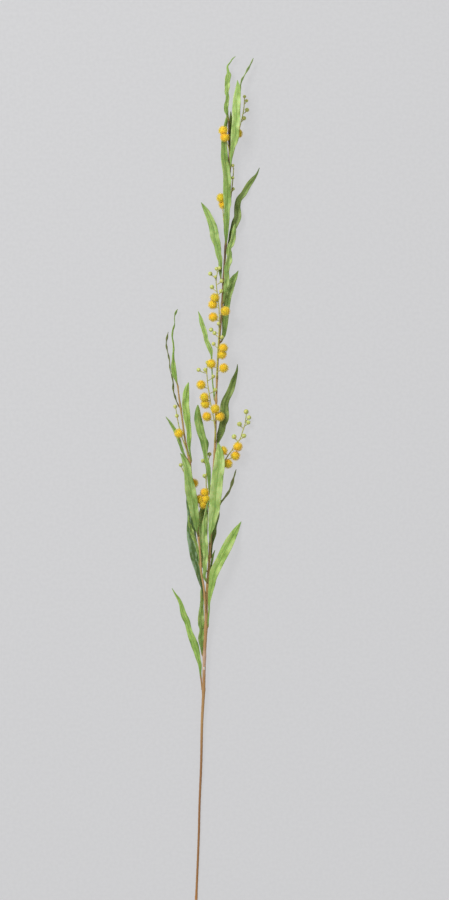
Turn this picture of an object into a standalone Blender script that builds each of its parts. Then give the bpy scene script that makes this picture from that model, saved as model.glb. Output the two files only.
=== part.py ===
"""A mimosa (wattle) sprig laid on its back on a table: a brown stem that forks once, long wavy leaves,
and thin green flower stalks that carry round buds and fluffy yellow flower heads.

Lengths in the tables are millimetres. x runs to the right, y up the sprig from the cut end of the stem,
and z up from the table. The last step moves the origin to the middle of the sprig's footprint.
"""

from math import cos, pi, radians, sin

import bmesh
import bpy
from mathutils import Matrix, Vector

MM = 0.001

# Driving dimensions
footprint_middle = (0.65, 506.14)  # becomes the origin
seat_gap = 0.3  # clearance between a piece and the stem that carries it
leaf_thickness = 0.7
petiole_half_width = 0.85
leaf_tip_half_width = 0.3
leaf_rows = 16  # lengthwise steps of a blade
leaf_columns = 2  # steps across it
edge_curl = 0.16  # rise of the edges above the midrib, as a share of the half width
edge_lag = 1.1  # radians by which the ripples of one edge are ahead of the other's
flower_radius = 4.6  # core of a flower head, without its florets
floret_height = 1.3
stalk_radius = 0.75
pedicel_radius = 0.5
pedicel_drop = 4.0  # a pedicel leaves its stalk this far below the ball that it carries
pedicel_sides = 4
bud_sides = 6
bud_rings = 4
stem_bevel = 2  # bevel resolution: 8 sides
stalk_bevel = 1  # 6 sides
stem_steps = 34
stalk_step = 8.0  # length of one straight stretch of a flower stalk
weld_reach = 0.001

# Stem routes: x, y, z of the middle of the wood, and its radius
stems = {
    "main_stem": [
        (-19, 0, 1.7, 1.4), (-16, 73, 1.9, 1.35), (-15, 113, 2.4, 1.35), (-13, 163, 3.2, 1.45),
        (-12, 212, 4.4, 1.6), (-10, 252, 5.6, 1.85), (-9, 294, 7, 1.55), (-7, 334, 8, 1.7),
        (-7, 355, 8.8, 1.75), (-6, 372, 9.4, 1.6), (-4, 395, 10.2, 1.4), (-2, 432, 11.5, 1.35),
        (0, 486, 12.5, 1.3), (3, 534, 13, 1.3), (4, 554, 13, 1.25), (5, 594, 13.5, 1.2),
        (7, 648, 14, 1.2), (11, 698, 14, 1.2), (14, 749, 13.5, 1.25), (17, 794, 12.8, 1.3),
        (19, 834, 12, 1.25), (21, 874, 11, 1.1), (21, 906, 10.5, 1.05), (20, 934, 10, 0.8),
    ],
    "side_branch": [
        (-8, 346, 11.8, 0.8), (-8.4, 360, 12.6, 1.2), (-10, 377, 13.2, 1.2), (-13, 395, 13.4, 1.2),
        (-14, 414, 13.2, 1.2), (-17, 444, 13, 1.2), (-22, 480, 12.5, 1.15), (-26, 521, 12, 1.15),
        (-30, 541, 11.5, 1.15), (-33, 557, 11.2, 1.1), (-35, 572, 11, 1.1), (-37, 587, 10.5, 1.1),
        (-39, 600, 10, 1.05), (-41, 617, 9.5, 0.8),
    ],
}

# Leaves from the foot up. on: the stem that carries it. at: the height y where it leaves that stem.
# around: the side it leaves from, in degrees, 0 right, 90 up, 180 left; None is the stem's own tip.
# roll: how far the blade is turned about its midrib, at its base and at its tip, in degrees.
# waves: height and number of the ripples along its edges. route: the midrib, and half the blade's width.
leaves = {
    "leaf_01": dict(
        on="main_stem", at=252, around=180, roll=(-25, 5), waves=(0.9, 4),
        route=[(-13.3, 264, 4.5, 0.9), (-14, 273, 4.2, 1.3), (-14.5, 282, 4.5, 2.3),
               (-16.5, 290, 4.5, 2.9), (-18.5, 298, 4.5, 3.7), (-21, 306, 4, 4.5), (-23.5, 313, 4, 4.3),
               (-26.5, 321, 3, 3.5), (-28.5, 328, 2.5, 3.2), (-30, 334, 2, 3.6), (-33, 340, 1.5, 3.7),
               (-35, 346, 1, 3.3), (-37, 354, 0.5, 2.4), (-40, 361, 0, 1.9), (-44, 367, 0, 1.1),
               (-48, 374, 0, 0.3)]),
    "leaf_02": dict(
        on="main_stem", at=292, around=180, roll=(8, 12), waves=(0.8, 4),
        route=[(-12, 297, 5.5, 1.1), (-12.5, 304, 5, 2), (-13, 310, 4.5, 3.1), (-13, 316, 4, 3.8),
               (-12.5, 324, 3.5, 2.6), (-13, 331, 3.5, 3.8), (-13.5, 338, 3.5, 3.7), (-13, 345, 3.5, 3.3),
               (-12.5, 352, 3, 2.4), (-12, 361, 3, 2.2), (-12.5, 369, 3, 1.8), (-12, 378, 3, 0.4)]),
    "leaf_03": dict(
        on="main_stem", at=326, around=10, roll=(-15, 5), waves=(1.3, 4),
        route=[(-4.5, 336, 11.5, 0.9), (-3.5, 348, 11.5, 1), (-3.5, 356, 12, 1.3), (-2.5, 364, 13, 2.2),
               (-1.5, 371, 14, 3), (0, 379, 15, 3.9), (1, 387, 15.5, 4.8), (3.5, 395, 16.5, 5.7),
               (7, 402, 16.5, 5.5), (10.5, 409, 16, 5.5), (14, 416, 15, 5.8), (18, 424, 13, 5.9),
               (21.5, 431, 10.5, 5.5), (25.5, 438, 7.5, 4.6), (29, 444, 4.5, 3.4), (32, 449, 3, 1.9),
               (35, 454, 1, 0.3)]),
    "leaf_04": dict(
        on="main_stem", at=360, around=200, roll=(20, -5), waves=(1.1, 4),
        route=[(-12, 374, 5, 1.3), (-13.5, 381, 5, 2.3), (-15.5, 390, 4, 3.5), (-17.5, 398, 3, 4.3),
               (-20, 407, 2.5, 4.9), (-21.5, 416, 2, 5.5), (-23, 426, 2, 5.7), (-24.5, 435, 1.5, 5.7),
               (-25, 445, 1.5, 5.4), (-25, 455, 1, 4.8), (-25.5, 464, 0.5, 4.3), (-27, 473, 0.5, 3.6),
               (-28.5, 480, 0, 2.7), (-30, 487, 0, 0.5)]),
    "leaf_05": dict(
        on="main_stem", at=388, around=350, roll=(0, 20), waves=(0.4, 2),
        route=[(-1, 401, 8.5, 1.1), (0, 407, 8, 1.3), (1, 413, 7.5, 1.4), (3.5, 420, 7, 0.3)]),
    "leaf_06": dict(
        on="main_stem", at=380, around=80, roll=(0, 30), waves=(1.6, 4),
        route=[(-9, 388, 16.5, 1.2), (-8.5, 396, 16.5, 1.7), (-8.5, 405, 17, 2.2), (-7.5, 413, 17.5, 2.9),
               (-8, 420, 18, 3.7), (-8.5, 427, 18, 3.7), (-9.5, 435, 18, 3.4), (-9, 443, 18, 3.4),
               (-9.5, 450, 18, 2.8), (-8.5, 459, 18, 2.1), (-7, 467, 18, 1.7), (-5.5, 474, 19, 1.2),
               (-4, 480, 20, 0.4)]),
    "leaf_07": dict(
        on="main_stem", at=394, around=200, roll=(0, -10), waves=(1, 3),
        route=[(-10.5, 401, 6.5, 1.2), (-11, 413, 6, 2.6), (-11, 425, 5, 4.1), (-11, 435, 4, 5.3),
               (-11, 446, 3.5, 6), (-10.5, 456, 3, 6.1), (-10, 465, 2.5, 5.5), (-9.5, 474, 2, 3.7),
               (-10, 482, 1.5, 0.6)]),
    "leaf_08": dict(
        on="main_stem", at=410, around=330, roll=(0, 10), waves=(1, 3),
        route=[(-1, 417, 8, 1.2), (-0.5, 426, 8, 1.6), (0.5, 433, 7.5, 2.5), (2, 440, 7, 3.3),
               (2.5, 447, 7, 3.1), (3.5, 455, 6.5, 3.9), (5, 462, 6.5, 4), (5, 469, 6, 3.3),
               (5.5, 478, 6, 1.8), (6, 485, 6, 0.4)]),
    "leaf_09": dict(
        on="main_stem", at=426, around=90, roll=(0, 8), waves=(1, 4),
        route=[(-2.5, 438, 17.5, 1.2), (-1.5, 444, 17.5, 2.9), (0, 450, 18, 4.1), (1, 459, 19.5, 5.3),
               (2.5, 467, 21, 6.4), (3.5, 474, 21.5, 6.5), (4, 483, 22.5, 7.1), (5, 492, 23.5, 7.2),
               (6, 502, 24, 7.2), (7, 511, 24.5, 7), (8.5, 521, 24.5, 6.7), (9, 529, 24, 6),
               (9, 536, 23.5, 4.9), (8.5, 542, 22.5, 3.1), (7.5, 549, 22, 0.5)]),
    "leaf_10": dict(
        on="side_branch", at=401, around=190, roll=(30, 50), waves=(0.7, 3),
        route=[(-15.5, 413, 11, 1.3), (-17.5, 421, 11, 1.8), (-19.5, 428, 10.5, 2.1),
               (-22.5, 436, 10, 2.5), (-25, 443, 9.5, 2.8), (-26.5, 449, 9.5, 2.5), (-27.5, 455, 9, 1.8),
               (-27.5, 462, 8.5, 0.4)]),
    "leaf_11": dict(
        on="side_branch", at=436, around=100, roll=(0, -5), waves=(1.1, 4),
        route=[(-18, 443, 17.5, 1.2), (-19, 449, 17.5, 2.4), (-19, 455, 17.5, 3.8), (-20.5, 462, 18, 5),
               (-21.5, 469, 18.5, 5.4), (-23, 478, 19, 6), (-24.5, 486, 19, 6.4), (-26, 494, 19, 6.4),
               (-27.5, 503, 19, 5.3), (-28.5, 511, 18.5, 4.8), (-30, 520, 17.5, 4.6),
               (-32.5, 527, 16, 3.5), (-35.5, 533, 15, 1.8), (-38, 536, 14, 0.4)]),
    "leaf_12": dict(
        on="main_stem", at=448, around=345, roll=(40, 65), waves=(0.5, 2),
        route=[(9, 474, 10.5, 1.6), (13.5, 481, 10, 1.9), (17.5, 487, 9.5, 2.2), (20.5, 492, 8.5, 2.6),
               (23, 498, 8, 2.8), (25, 504, 7.5, 3), (27, 510, 7, 2), (29, 517, 6, 0.3)]),
    "leaf_13": dict(
        on="main_stem", at=484, around=150, roll=(-30, 10), waves=(1, 3),
        route=[(-3, 494, 15.5, 1.2), (-3.5, 502, 15.5, 1.8), (-4, 511, 15.5, 2.8), (-5, 521, 16, 3),
               (-7, 529, 16, 2.6), (-8, 535, 16, 2.6), (-8.5, 542, 16, 3.9), (-9, 548, 16, 4.9),
               (-11, 554, 15.5, 4.3), (-13.5, 562, 15.5, 4.7), (-15, 569, 15, 4.8), (-16.5, 576, 14, 4.7),
               (-17, 583, 13.5, 3.7), (-17, 589, 12.5, 2.5), (-17, 594, 12, 0.6)]),
    "leaf_14": dict(
        on="side_branch", at=528, around=190, roll=(-20, -35), waves=(0.6, 2),
        route=[(-32.5, 533, 10.5, 1.2), (-35, 538, 9, 1.6), (-37.5, 545, 7.5, 2.1),
               (-39.5, 552, 5.5, 2.4), (-42, 559, 4, 2.6), (-45, 565, 3, 2.4), (-48.5, 570, 2, 2),
               (-52.5, 576, 1, 1.3), (-55.5, 580, 0, 0.3)]),
    "leaf_15": dict(
        on="side_branch", at=524, around=0, roll=(20, 10), waves=(0.9, 3),
        route=[(-25.7, 533, 12.5, 1), (-27, 541, 12.5, 1.4), (-27.5, 548, 12.5, 2.4),
               (-27.5, 557, 13, 2.9), (-28, 565, 13, 3.2), (-29.5, 575, 13.5, 4), (-30.5, 584, 13.5, 4.3),
               (-32, 594, 13, 4.3), (-31.5, 601, 13, 4.3), (-31, 608, 12.5, 3.8), (-30, 614, 11.5, 2.8),
               (-29, 618, 11.5, 1.6), (-28, 621, 11, 0.4)]),
    "leaf_16": dict(
        on="main_stem", at=538, around=350, roll=(-10, 15), waves=(1.2, 3),
        route=[(6.5, 545, 11.8, 1), (7.6, 551, 10.8, 2), (9.5, 558, 10.2, 3.8), (11.5, 564, 9.8, 4.2),
               (13, 571, 9.3, 4.3), (15, 578, 9, 5.2), (15, 587, 8, 5.2), (15, 594, 7.5, 4.9),
               (17, 601, 7, 4.3), (20, 607, 6.5, 4.1), (23, 614, 6, 4.1), (25.5, 622, 6, 3.6),
               (28, 629, 5.5, 2.4), (30, 636, 5, 1.3), (30.5, 643, 5, 0.3)]),
    "leaf_17": dict(
        on="side_branch", at=590, around=200, roll=(60, 65), waves=(0.5, 3),
        route=[(-43, 599, 7.5, 2), (-45, 606, 7, 2), (-46.5, 613, 6, 1.9), (-47.5, 624, 5.5, 1.8),
               (-50, 635, 4.5, 1.6), (-51, 646, 4, 1.5), (-53.5, 657, 3, 1.8), (-55, 666, 2, 2.2),
               (-54, 675, 1, 2), (-52.5, 682, 0.5, 0.3)]),
    "leaf_18": dict(
        on="main_stem", at=598, around=190, roll=(-10, 10), waves=(0.7, 3),
        route=[(2.5, 608, 11.5, 1.1), (1, 618, 10, 0.8), (0.5, 626, 9.5, 0.8), (0, 636, 8, 0.8),
               (-0.5, 646, 7.5, 0.8), (-0.5, 653, 8, 1.2), (-1.5, 659, 9, 2.6), (-4, 665, 10, 2.8),
               (-7, 672, 11, 2.5), (-8, 678, 11.5, 2.8), (-10, 685, 12, 2.8), (-12, 691, 12, 2.7),
               (-13.5, 697, 12, 2.1), (-15, 702, 12, 1.1), (-16.5, 706, 12, 0.3)]),
    "leaf_19": dict(
        on="side_branch", at=617, around=None, roll=(0, 75), waves=(0.5, 4),
        route=[(-42.5, 622, 9.5, 1.2), (-44.5, 629, 9.5, 2.7), (-46, 636, 9.5, 3.3), (-46.5, 643, 9, 2.7),
               (-46.5, 652, 9, 1.6), (-46, 663, 8.5, 1.2), (-47.5, 675, 7.5, 1.3), (-47, 683, 7.5, 1.5),
               (-45, 691, 7, 1.2), (-45, 699, 6, 1), (-44, 703, 5.5, 2.4), (-42.5, 707, 5.5, 2),
               (-41, 709, 5, 0.3)]),
    "leaf_20": dict(
        on="main_stem", at=668, around=340, roll=(15, -10), waves=(0.8, 3),
        route=[(12.5, 673, 12, 1.2), (14, 678, 12, 2.4), (15, 684, 12, 2.8), (15.5, 691, 11.5, 3.5),
               (16, 700, 11, 4), (17, 708, 10.5, 3.8), (18, 716, 9.5, 4), (19, 725, 9, 4.6),
               (21.5, 733, 8.5, 4.8), (24, 741, 7.5, 4.3), (27, 747, 7, 3.4), (29.5, 751, 6.5, 1.8),
               (31.5, 755, 6, 0.3)]),
    "leaf_21": dict(
        on="main_stem", at=714, around=60, roll=(25, 35), waves=(1.4, 4),
        route=[(14.5, 722, 17.5, 1.3), (16, 732, 17.5, 2.4), (17, 741, 17.5, 3.4), (17.5, 750, 18, 3.7),
               (18, 758, 18.5, 3.3), (19.5, 766, 19, 4.1), (20.5, 774, 19, 4.2), (20.5, 781, 19.5, 3.1),
               (23, 787, 19.5, 3.4), (25, 794, 19, 3.7), (26.5, 801, 18.5, 3.2), (27, 807, 18, 1.7),
               (27.5, 811, 18, 0.3)]),
    "leaf_22": dict(
        on="main_stem", at=742, around=185, roll=(-25, -5), waves=(1, 4),
        route=[(10.5, 748, 12.5, 1.2), (10, 754, 12.5, 2), (10, 761, 12.5, 2.4), (10, 768, 12, 3.1),
               (8, 775, 12, 3.5), (7, 782, 11.5, 4), (6, 788, 11, 4.7), (4, 794, 10.5, 5.3),
               (2.5, 802, 9.5, 5.2), (1, 808, 8.5, 5), (-1, 814, 7.5, 4.5), (-3.5, 820, 6.5, 3.8),
               (-6.5, 826, 5.5, 3.3), (-10, 832, 4.5, 1.9), (-13, 837, 4, 0.3)]),
    "leaf_23": dict(
        on="main_stem", at=780, around=345, roll=(15, -5), waves=(1.2, 3),
        route=[(19.5, 786, 10.5, 1), (21, 792, 10.5, 1.6), (23.5, 801, 9.5, 2.7), (26, 807, 8.5, 3.7),
               (28, 813, 7.5, 4.4), (30.5, 819, 6.5, 4.4), (30.5, 826, 5.5, 4.2), (30.5, 833, 4.5, 3.7),
               (32.5, 841, 3, 3.5), (37.5, 847, 2.5, 3.5), (41, 853, 1.5, 3.4), (44.5, 859, 1, 3.2),
               (49, 865, 0.5, 2.6), (53.5, 871, 0.5, 1.3), (57, 879, 0, 0.3)]),
    "leaf_24": dict(
        on="main_stem", at=784, around=90, roll=(0, 25), waves=(1.1, 4),
        route=[(17, 793, 17, 1.8), (17, 802, 17.5, 2.9), (17.5, 816, 18, 3.5), (18, 828, 18.5, 3.5),
               (18.5, 836, 18, 4.7), (18, 846, 18, 4.7), (18, 854, 17.5, 4.8), (18, 864, 17, 4.8),
               (17, 873, 16.5, 4.7), (16, 882, 14.5, 5), (15, 890, 13.5, 4.4), (14.5, 900, 12, 3.8),
               (14, 909, 11, 3.3), (15, 919, 10, 2.8), (16, 927, 9, 2.6), (17.5, 936, 7.5, 1.7),
               (18.5, 943, 6.5, 0.4)]),
    "leaf_25": dict(
        on="main_stem", at=876, around=50, roll=(15, -5), waves=(0.9, 4),
        route=[(22.5, 883, 17, 1.1), (23, 890, 17, 1.7), (24, 897, 18.5, 2.2), (25, 903, 20, 2.8),
               (26.5, 909, 22, 4.4), (27.5, 916, 23, 5.1), (28, 925, 24.5, 4.7), (29, 935, 24.5, 4.9),
               (29, 944, 24.5, 4.9), (29.5, 953, 24, 4.8), (30, 961, 23, 4.4), (31, 970, 22, 3.4),
               (31, 976, 21, 2.2), (30.5, 982, 20, 0.3)]),
    "leaf_26": dict(
        on="main_stem", at=884, around=330, roll=(-25, 25), waves=(0.8, 3),
        route=[(22, 882, 8.5, 1.1), (22.5, 900, 8, 1.5), (23, 918, 6.5, 1.4), (23, 931, 6, 1.7),
               (23, 939, 5.5, 1.4), (22.5, 946, 5, 0.4)]),
    "leaf_27": dict(
        on="main_stem", at=912, around=0, roll=(70, 70), waves=(0.5, 3),
        route=[(27, 938, 11, 2.4), (31.5, 962, 11, 2.7), (34, 978, 10, 2.6), (35, 984, 10, 2.7),
               (39, 990, 9, 2.7), (42.5, 996, 8.5, 2.6), (46, 1002, 8, 2.4), (49.5, 1010, 6, 0.4)]),
    "leaf_28": dict(
        on="main_stem", at=934, around=None, roll=(35, 5), waves=(0.7, 4),
        route=[(17, 947, 10, 2.8), (17, 953, 10, 2.7), (18, 959, 9.5, 2.4), (18.5, 964, 9.5, 2.4),
               (17.5, 969, 9, 2.5), (18, 975, 8.5, 3.1), (18, 981, 8.5, 3.3), (19, 986, 8, 3.4),
               (20, 990, 8, 3.2), (19.5, 993, 8, 1.8), (18.5, 998, 7.5, 1.3), (19, 1001, 7, 1),
               (22, 1005, 6.5, 0.7), (24.5, 1009, 6, 0.7), (28, 1012, 5, 0.4)]),
}

# Flower stalks. Each carries flower heads (x, y, z) and round buds (x, y, z, radius).
sprays = {
    "spray_top_left": dict(
        on="main_stem", at=886, around=60,
        stalk=[(20.5, 899, 14.5), (18, 908, 17)],
        heads=[(13.5, 922, 18), (15.5, 914, 18.5)],
        buds=[]),
    "spray_top_right": dict(
        on="main_stem", at=888, around=0,
        stalk=[(29, 910, 8.5), (35, 934, 7), (38, 948, 6), (39, 960, 5)],
        heads=[(31, 919, 13.5)],
        buds=[(39, 964, 4.5, 2), (41.5, 959, 4.5, 2), (42, 948, 4.5, 2.6), (38.5, 938, 4.5, 2.6)]),
    "spray_upper_left": dict(
        on="main_stem", at=806, around=180,
        stalk=[(13.5, 822, 11), (13, 834, 10)],
        heads=[(11, 842, 9.5), (13.5, 834.5, 6.5)],
        buds=[]),
    "spray_upper_right": dict(
        on="main_stem", at=833, around=0,
        stalk=[(23.5, 850, 10.5), (25, 864, 9.5), (26, 878, 9)],
        heads=[],
        buds=[(25, 881, 8.5, 2), (24.8, 866, 12, 2), (25.5, 853, 8.5, 2)]),
    "spray_middle_upper": dict(
        on="main_stem", at=626, around=90,
        stalk=[(6.3, 640, 18.3), (7, 658, 18.6), (8.5, 684, 18.6), (8.5, 708, 18.3), (6, 730, 17.5),
               (5, 743, 16.5), (6.5, 753, 15.5)],
        heads=[(3.5, 722, 17), (1, 714, 15), (16, 706, 23.5), (1.5, 699, 17), (13.5, 662, 22.5),
               (12, 654, 20), (14, 638, 19), (-0.8, 643, 17.5)],
        buds=[(5.5, 757, 14, 2.3), (9, 757.5, 16, 2.3), (-2, 751, 15, 2.6), (4, 747, 19, 2),
              (11.5, 742, 19.5, 2.5), (11, 730, 20.5, 2.4), (0, 735, 15, 2.7), (8, 691, 21.5, 2.3),
              (-1, 684, 14, 2.6), (3, 680, 14.5, 2.5), (12, 675, 18, 2.3), (2, 667, 14, 2.4)]),
    "spray_middle_lower": dict(
        on="main_stem", at=550, around=100,
        stalk=[(4, 563, 17.5), (2, 578, 17.8), (-1, 593, 17), (-3, 606, 15.5), (-5, 618, 14.5),
               (-6, 630, 13.5), (-6, 638, 12.5)],
        heads=[(-13, 618, 15), (-9, 603, 16.5), (-8, 595, 14.5), (-6, 580, 13.5), (4, 589, 21),
               (9.5, 580, 19.5)],
        buds=[(-5.5, 645, 10.5, 2.4), (-8, 636, 12, 2.5), (-16, 636, 11.5, 2.5), (1.5, 628, 13.5, 2.3),
              (4, 612, 19, 2.4)]),
    "spray_right": dict(
        on="main_stem", at=500, around=0,
        stalk=[(9, 516, 12.5), (17, 530, 11.5), (24, 540, 10.5), (29, 548, 9.5), (33.5, 553, 8.5),
               (37, 563, 7), (39.5, 571, 5.5), (41, 581, 4)],
        heads=[(13, 539, 15.5), (31, 544, 13), (28, 533, 10.5), (19, 523.5, 14)],
        buds=[(41, 586, 3.1, 3), (44.5, 579, 4, 2.6), (43.5, 573, 5.5, 2.6), (33, 571, 6, 3),
              (26.5, 556, 9, 3), (38.5, 557, 8, 2.7)]),
    "spray_side_branch": dict(
        on="side_branch", at=534, around=80,
        stalk=[(-34, 550, 15.5), (-38, 562, 14.5), (-41, 576, 12.5), (-43, 588, 10)],
        heads=[(-39.5, 560, 15)],
        buds=[(-44, 592, 9, 2.4), (-42, 581, 9.5, 2.4)]),
    "spray_low_centre": dict(
        on="main_stem", at=462, around=150,
        stalk=[(-4, 474, 14), (-6, 488, 12), (-7, 502, 10), (-6, 518, 9), (-3.5, 531, 8.5)],
        heads=[(-8.5, 489, 10.5), (-15, 481, 11.5), (-7, 481, 13.5), (-10.5, 475, 11.5)],
        buds=[(-3, 535, 8, 2.5), (-11, 527, 8, 2.5), (-9, 509, 8, 2.5), (-3, 497, 8.5, 2)]),
    "spray_low_left": dict(
        on="side_branch", at=478, around=270,
        stalk=[(-26, 494, 8), (-31, 508, 7), (-36, 518, 6)],
        heads=[(-22, 500, 6)],
        buds=[(-37.5, 522, 5, 2.4)]),
}

colours = {
    "bark": ((0.36, 0.20, 0.10, 1), 0.75),
    "leaf": ((0.21, 0.37, 0.09, 1), 0.55),
    "stalk": ((0.40, 0.44, 0.10, 1), 0.6),
    "flower": ((0.83, 0.52, 0.03, 1), 0.9),
}


def clear_scene():
    for item in list(bpy.data.objects):
        bpy.data.objects.remove(item, do_unlink=True)


def material(name):
    made = bpy.data.materials.new(name)
    made.use_nodes = True
    shader = made.node_tree.nodes["Principled BSDF"]
    colour, roughness = colours[name]
    shader.inputs["Base Color"].default_value = colour
    shader.inputs["Roughness"].default_value = roughness
    shader.inputs["Metallic"].default_value = 0
    return made


def new_collection(name):
    made = bpy.data.collections.new(name)
    bpy.context.scene.collection.children.link(made)
    return made


def in_place(point):
    """A point of the tables, in millimetres, as a place in the scene."""
    return Vector((point[0] - footprint_middle[0], point[1] - footprint_middle[1], point[2])) * MM


def smooth_route(points, steps):
    """Evenly spaced points of a Catmull-Rom curve through the given ones; each may carry more numbers."""
    points = [tuple(map(float, p)) for p in points]
    before = tuple(2 * a - b for a, b in zip(points[0], points[1]))
    after = tuple(2 * a - b for a, b in zip(points[-1], points[-2]))
    knots = [before, *points, after]
    fine = 12  # steps between two knots, before they are evened out
    dense = []
    for i in range(1, len(knots) - 2):
        p0, p1, p2, p3 = knots[i - 1 : i + 3]
        for k in range(fine):
            t = k / fine
            dense.append(tuple(
                b + ((c - a) * t + (2 * a - 5 * b + 4 * c - d) * t**2 + (3 * b - a - 3 * c + d) * t**3) / 2
                for a, b, c, d in zip(p0, p1, p2, p3)))
    dense.append(points[-1])
    travelled = [0.0]
    for a, b in zip(dense, dense[1:]):
        travelled.append(travelled[-1] + (Vector(b[:3]) - Vector(a[:3])).length)
    route = []
    i = 0
    for k in range(steps + 1):
        along = travelled[-1] * k / steps
        while i < len(dense) - 2 and travelled[i + 1] < along:
            i += 1
        share = (along - travelled[i]) / (travelled[i + 1] - travelled[i])
        route.append(tuple(a + (b - a) * share for a, b in zip(dense[i], dense[i + 1])))
    return route


def directions(route):
    """Unit tangents of a route."""
    places = [Vector(p[:3]) for p in route]
    ahead = places[1:] + [places[-1] * 2 - places[-2]]
    behind = [places[0] * 2 - places[1]] + places[:-1]
    return [(a - b).normalized() for a, b in zip(ahead, behind)]


def stem_place(stem_routes, name, height):
    """Middle, tangent and radius of a stem at a height along y."""
    route = stem_routes[name]
    tangents = directions(route)
    i = max(k for k in range(len(route) - 1) if k == 0 or route[k][1] <= height)
    share = min(1, (height - route[i][1]) / (route[i + 1][1] - route[i][1]))
    here = [a + (b - a) * share for a, b in zip(route[i], route[i + 1])]
    return Vector(here[:3]), tangents[i], here[3]


def seat(stem_routes, piece, reach):
    """Where a piece starts: on the side of its stem that it names, its own edge a seat_gap off the bark.
    reach gives how far the piece extends towards the stem, from the direction it leaves in."""
    middle, tangent, radius = stem_place(stem_routes, piece["on"], piece["at"])
    if piece["around"] is None:
        return middle + tangent * seat_gap
    side = tangent.cross(Vector((0, 0, 1))).normalized()
    up = side.cross(tangent)
    angle = radians(piece["around"])
    outward = side * cos(angle) + up * sin(angle)
    return middle + outward * (radius + seat_gap + reach(tangent, outward))


def tube(name, route, bevel, collection):
    """A round tube along a route whose fourth number is its radius."""
    data = bpy.data.curves.new(name, "CURVE")
    data.dimensions = "3D"
    data.bevel_depth = MM
    data.bevel_resolution = bevel
    data.use_fill_caps = True
    line = data.splines.new("POLY")
    line.points.add(len(route) - 1)
    for point, (x, y, z, radius) in zip(line.points, route):
        point.co = (*in_place((x, y, z)), 1)
        point.radius = radius
    made = bpy.data.objects.new(name, data)
    collection.objects.link(made)
    return made


def as_mesh(curve, collection):
    """The curve's tube as a mesh object, its caps welded on, ready for a Boolean."""
    graph = bpy.context.evaluated_depsgraph_get()
    data = bpy.data.meshes.new_from_object(curve.evaluated_get(graph))
    shape = bmesh.new()
    shape.from_mesh(data)
    bmesh.ops.remove_doubles(shape, verts=shape.verts, dist=weld_reach * MM)
    bmesh.ops.recalc_face_normals(shape, faces=shape.faces)
    shape.to_mesh(data)
    shape.free()
    name = curve.name
    place = curve.matrix_world.copy()
    bpy.data.objects.remove(curve, do_unlink=True)
    made = bpy.data.objects.new(name, data)
    made.matrix_world = place
    collection.objects.link(made)
    return made


def blade_point(route, tangents, leaf, along, across):
    """A point of a leaf's middle surface. along is 0 at its base and 1 at its tip; across is -1 to 1."""
    exact = along * (len(route) - 1)
    i = min(int(exact), len(route) - 2)
    share = exact - i
    middle = Vector(route[i][:3]).lerp(Vector(route[i + 1][:3]), share)
    tangent = tangents[i].lerp(tangents[i + 1], share).normalized()
    side, face = blade_axes(tangent, leaf["roll"][0] + (leaf["roll"][1] - leaf["roll"][0]) * along)
    half = max(leaf_tip_half_width, route[i][3] + (route[i + 1][3] - route[i][3]) * share)
    fullness = half / max(p[3] for p in route)
    ripple, count = leaf["waves"]
    phase = 2 * pi * count * along + (edge_lag if across > 0 else 0)
    lift = abs(across) * fullness * (edge_curl * half + ripple * sin(phase))
    point = middle + side * across * half + face * lift
    # Where a blade would dip into the table it lies flat on it
    point.z = max(point.z, leaf_thickness / 2)
    return point


def blade_axes(tangent, roll):
    """The direction across a blade and the direction its face looks, for a midrib direction and a roll."""
    side = tangent.cross(Vector((0, 0, 1))).normalized()
    turned = Matrix.Rotation(radians(roll), 3, tangent) @ side
    return turned, turned.cross(tangent)


def make_leaf(name, leaf, stem_routes, finish, collection):
    def reach(tangent, outward):
        side, face = blade_axes(tangent, leaf["roll"][0])
        return abs(outward.dot(side)) * petiole_half_width + abs(outward.dot(face)) * leaf_thickness / 2

    base = seat(stem_routes, leaf, reach)
    route = smooth_route([(*base, petiole_half_width), *leaf["route"]], 4 * leaf_rows)
    tangents = directions(route)
    data = bpy.data.meshes.new(name)
    shape = bmesh.new()
    bmesh.ops.create_grid(shape, x_segments=leaf_rows, y_segments=leaf_columns, size=1)
    for corner in shape.verts:
        along = (corner.co.x + 1) / 2
        corner.co = in_place(blade_point(route, tangents, leaf, along, corner.co.y))
    bmesh.ops.triangulate(shape, faces=shape.faces)
    shape.to_mesh(data)
    shape.free()
    data.materials.append(finish)
    data.shade_smooth()
    made = bpy.data.objects.new(name, data)
    collection.objects.link(made)
    thick = made.modifiers.new("thickness", "SOLIDIFY")
    thick.thickness = leaf_thickness * MM
    thick.offset = 0
    return made


def ball(name, middle, radius, fluffy, finish, collection):
    """A round bud, or a fluffy flower head whose florets are the points raised on its core."""
    data = bpy.data.meshes.new(name)
    shape = bmesh.new()
    if fluffy:
        bmesh.ops.create_icosphere(shape, subdivisions=1, radius=radius * MM)
        bmesh.ops.poke(shape, faces=shape.faces)
        for corner in shape.verts:
            corner.co = corner.co.normalized() * radius * MM
        bmesh.ops.poke(shape, faces=shape.faces, offset=floret_height * MM)
    else:
        bmesh.ops.create_uvsphere(shape, u_segments=bud_sides, v_segments=bud_rings, radius=radius * MM)
    shape.to_mesh(data)
    shape.free()
    data.materials.append(finish)
    made = bpy.data.objects.new(name, data)
    made.location = in_place(middle)
    collection.objects.link(made)
    return made


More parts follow.
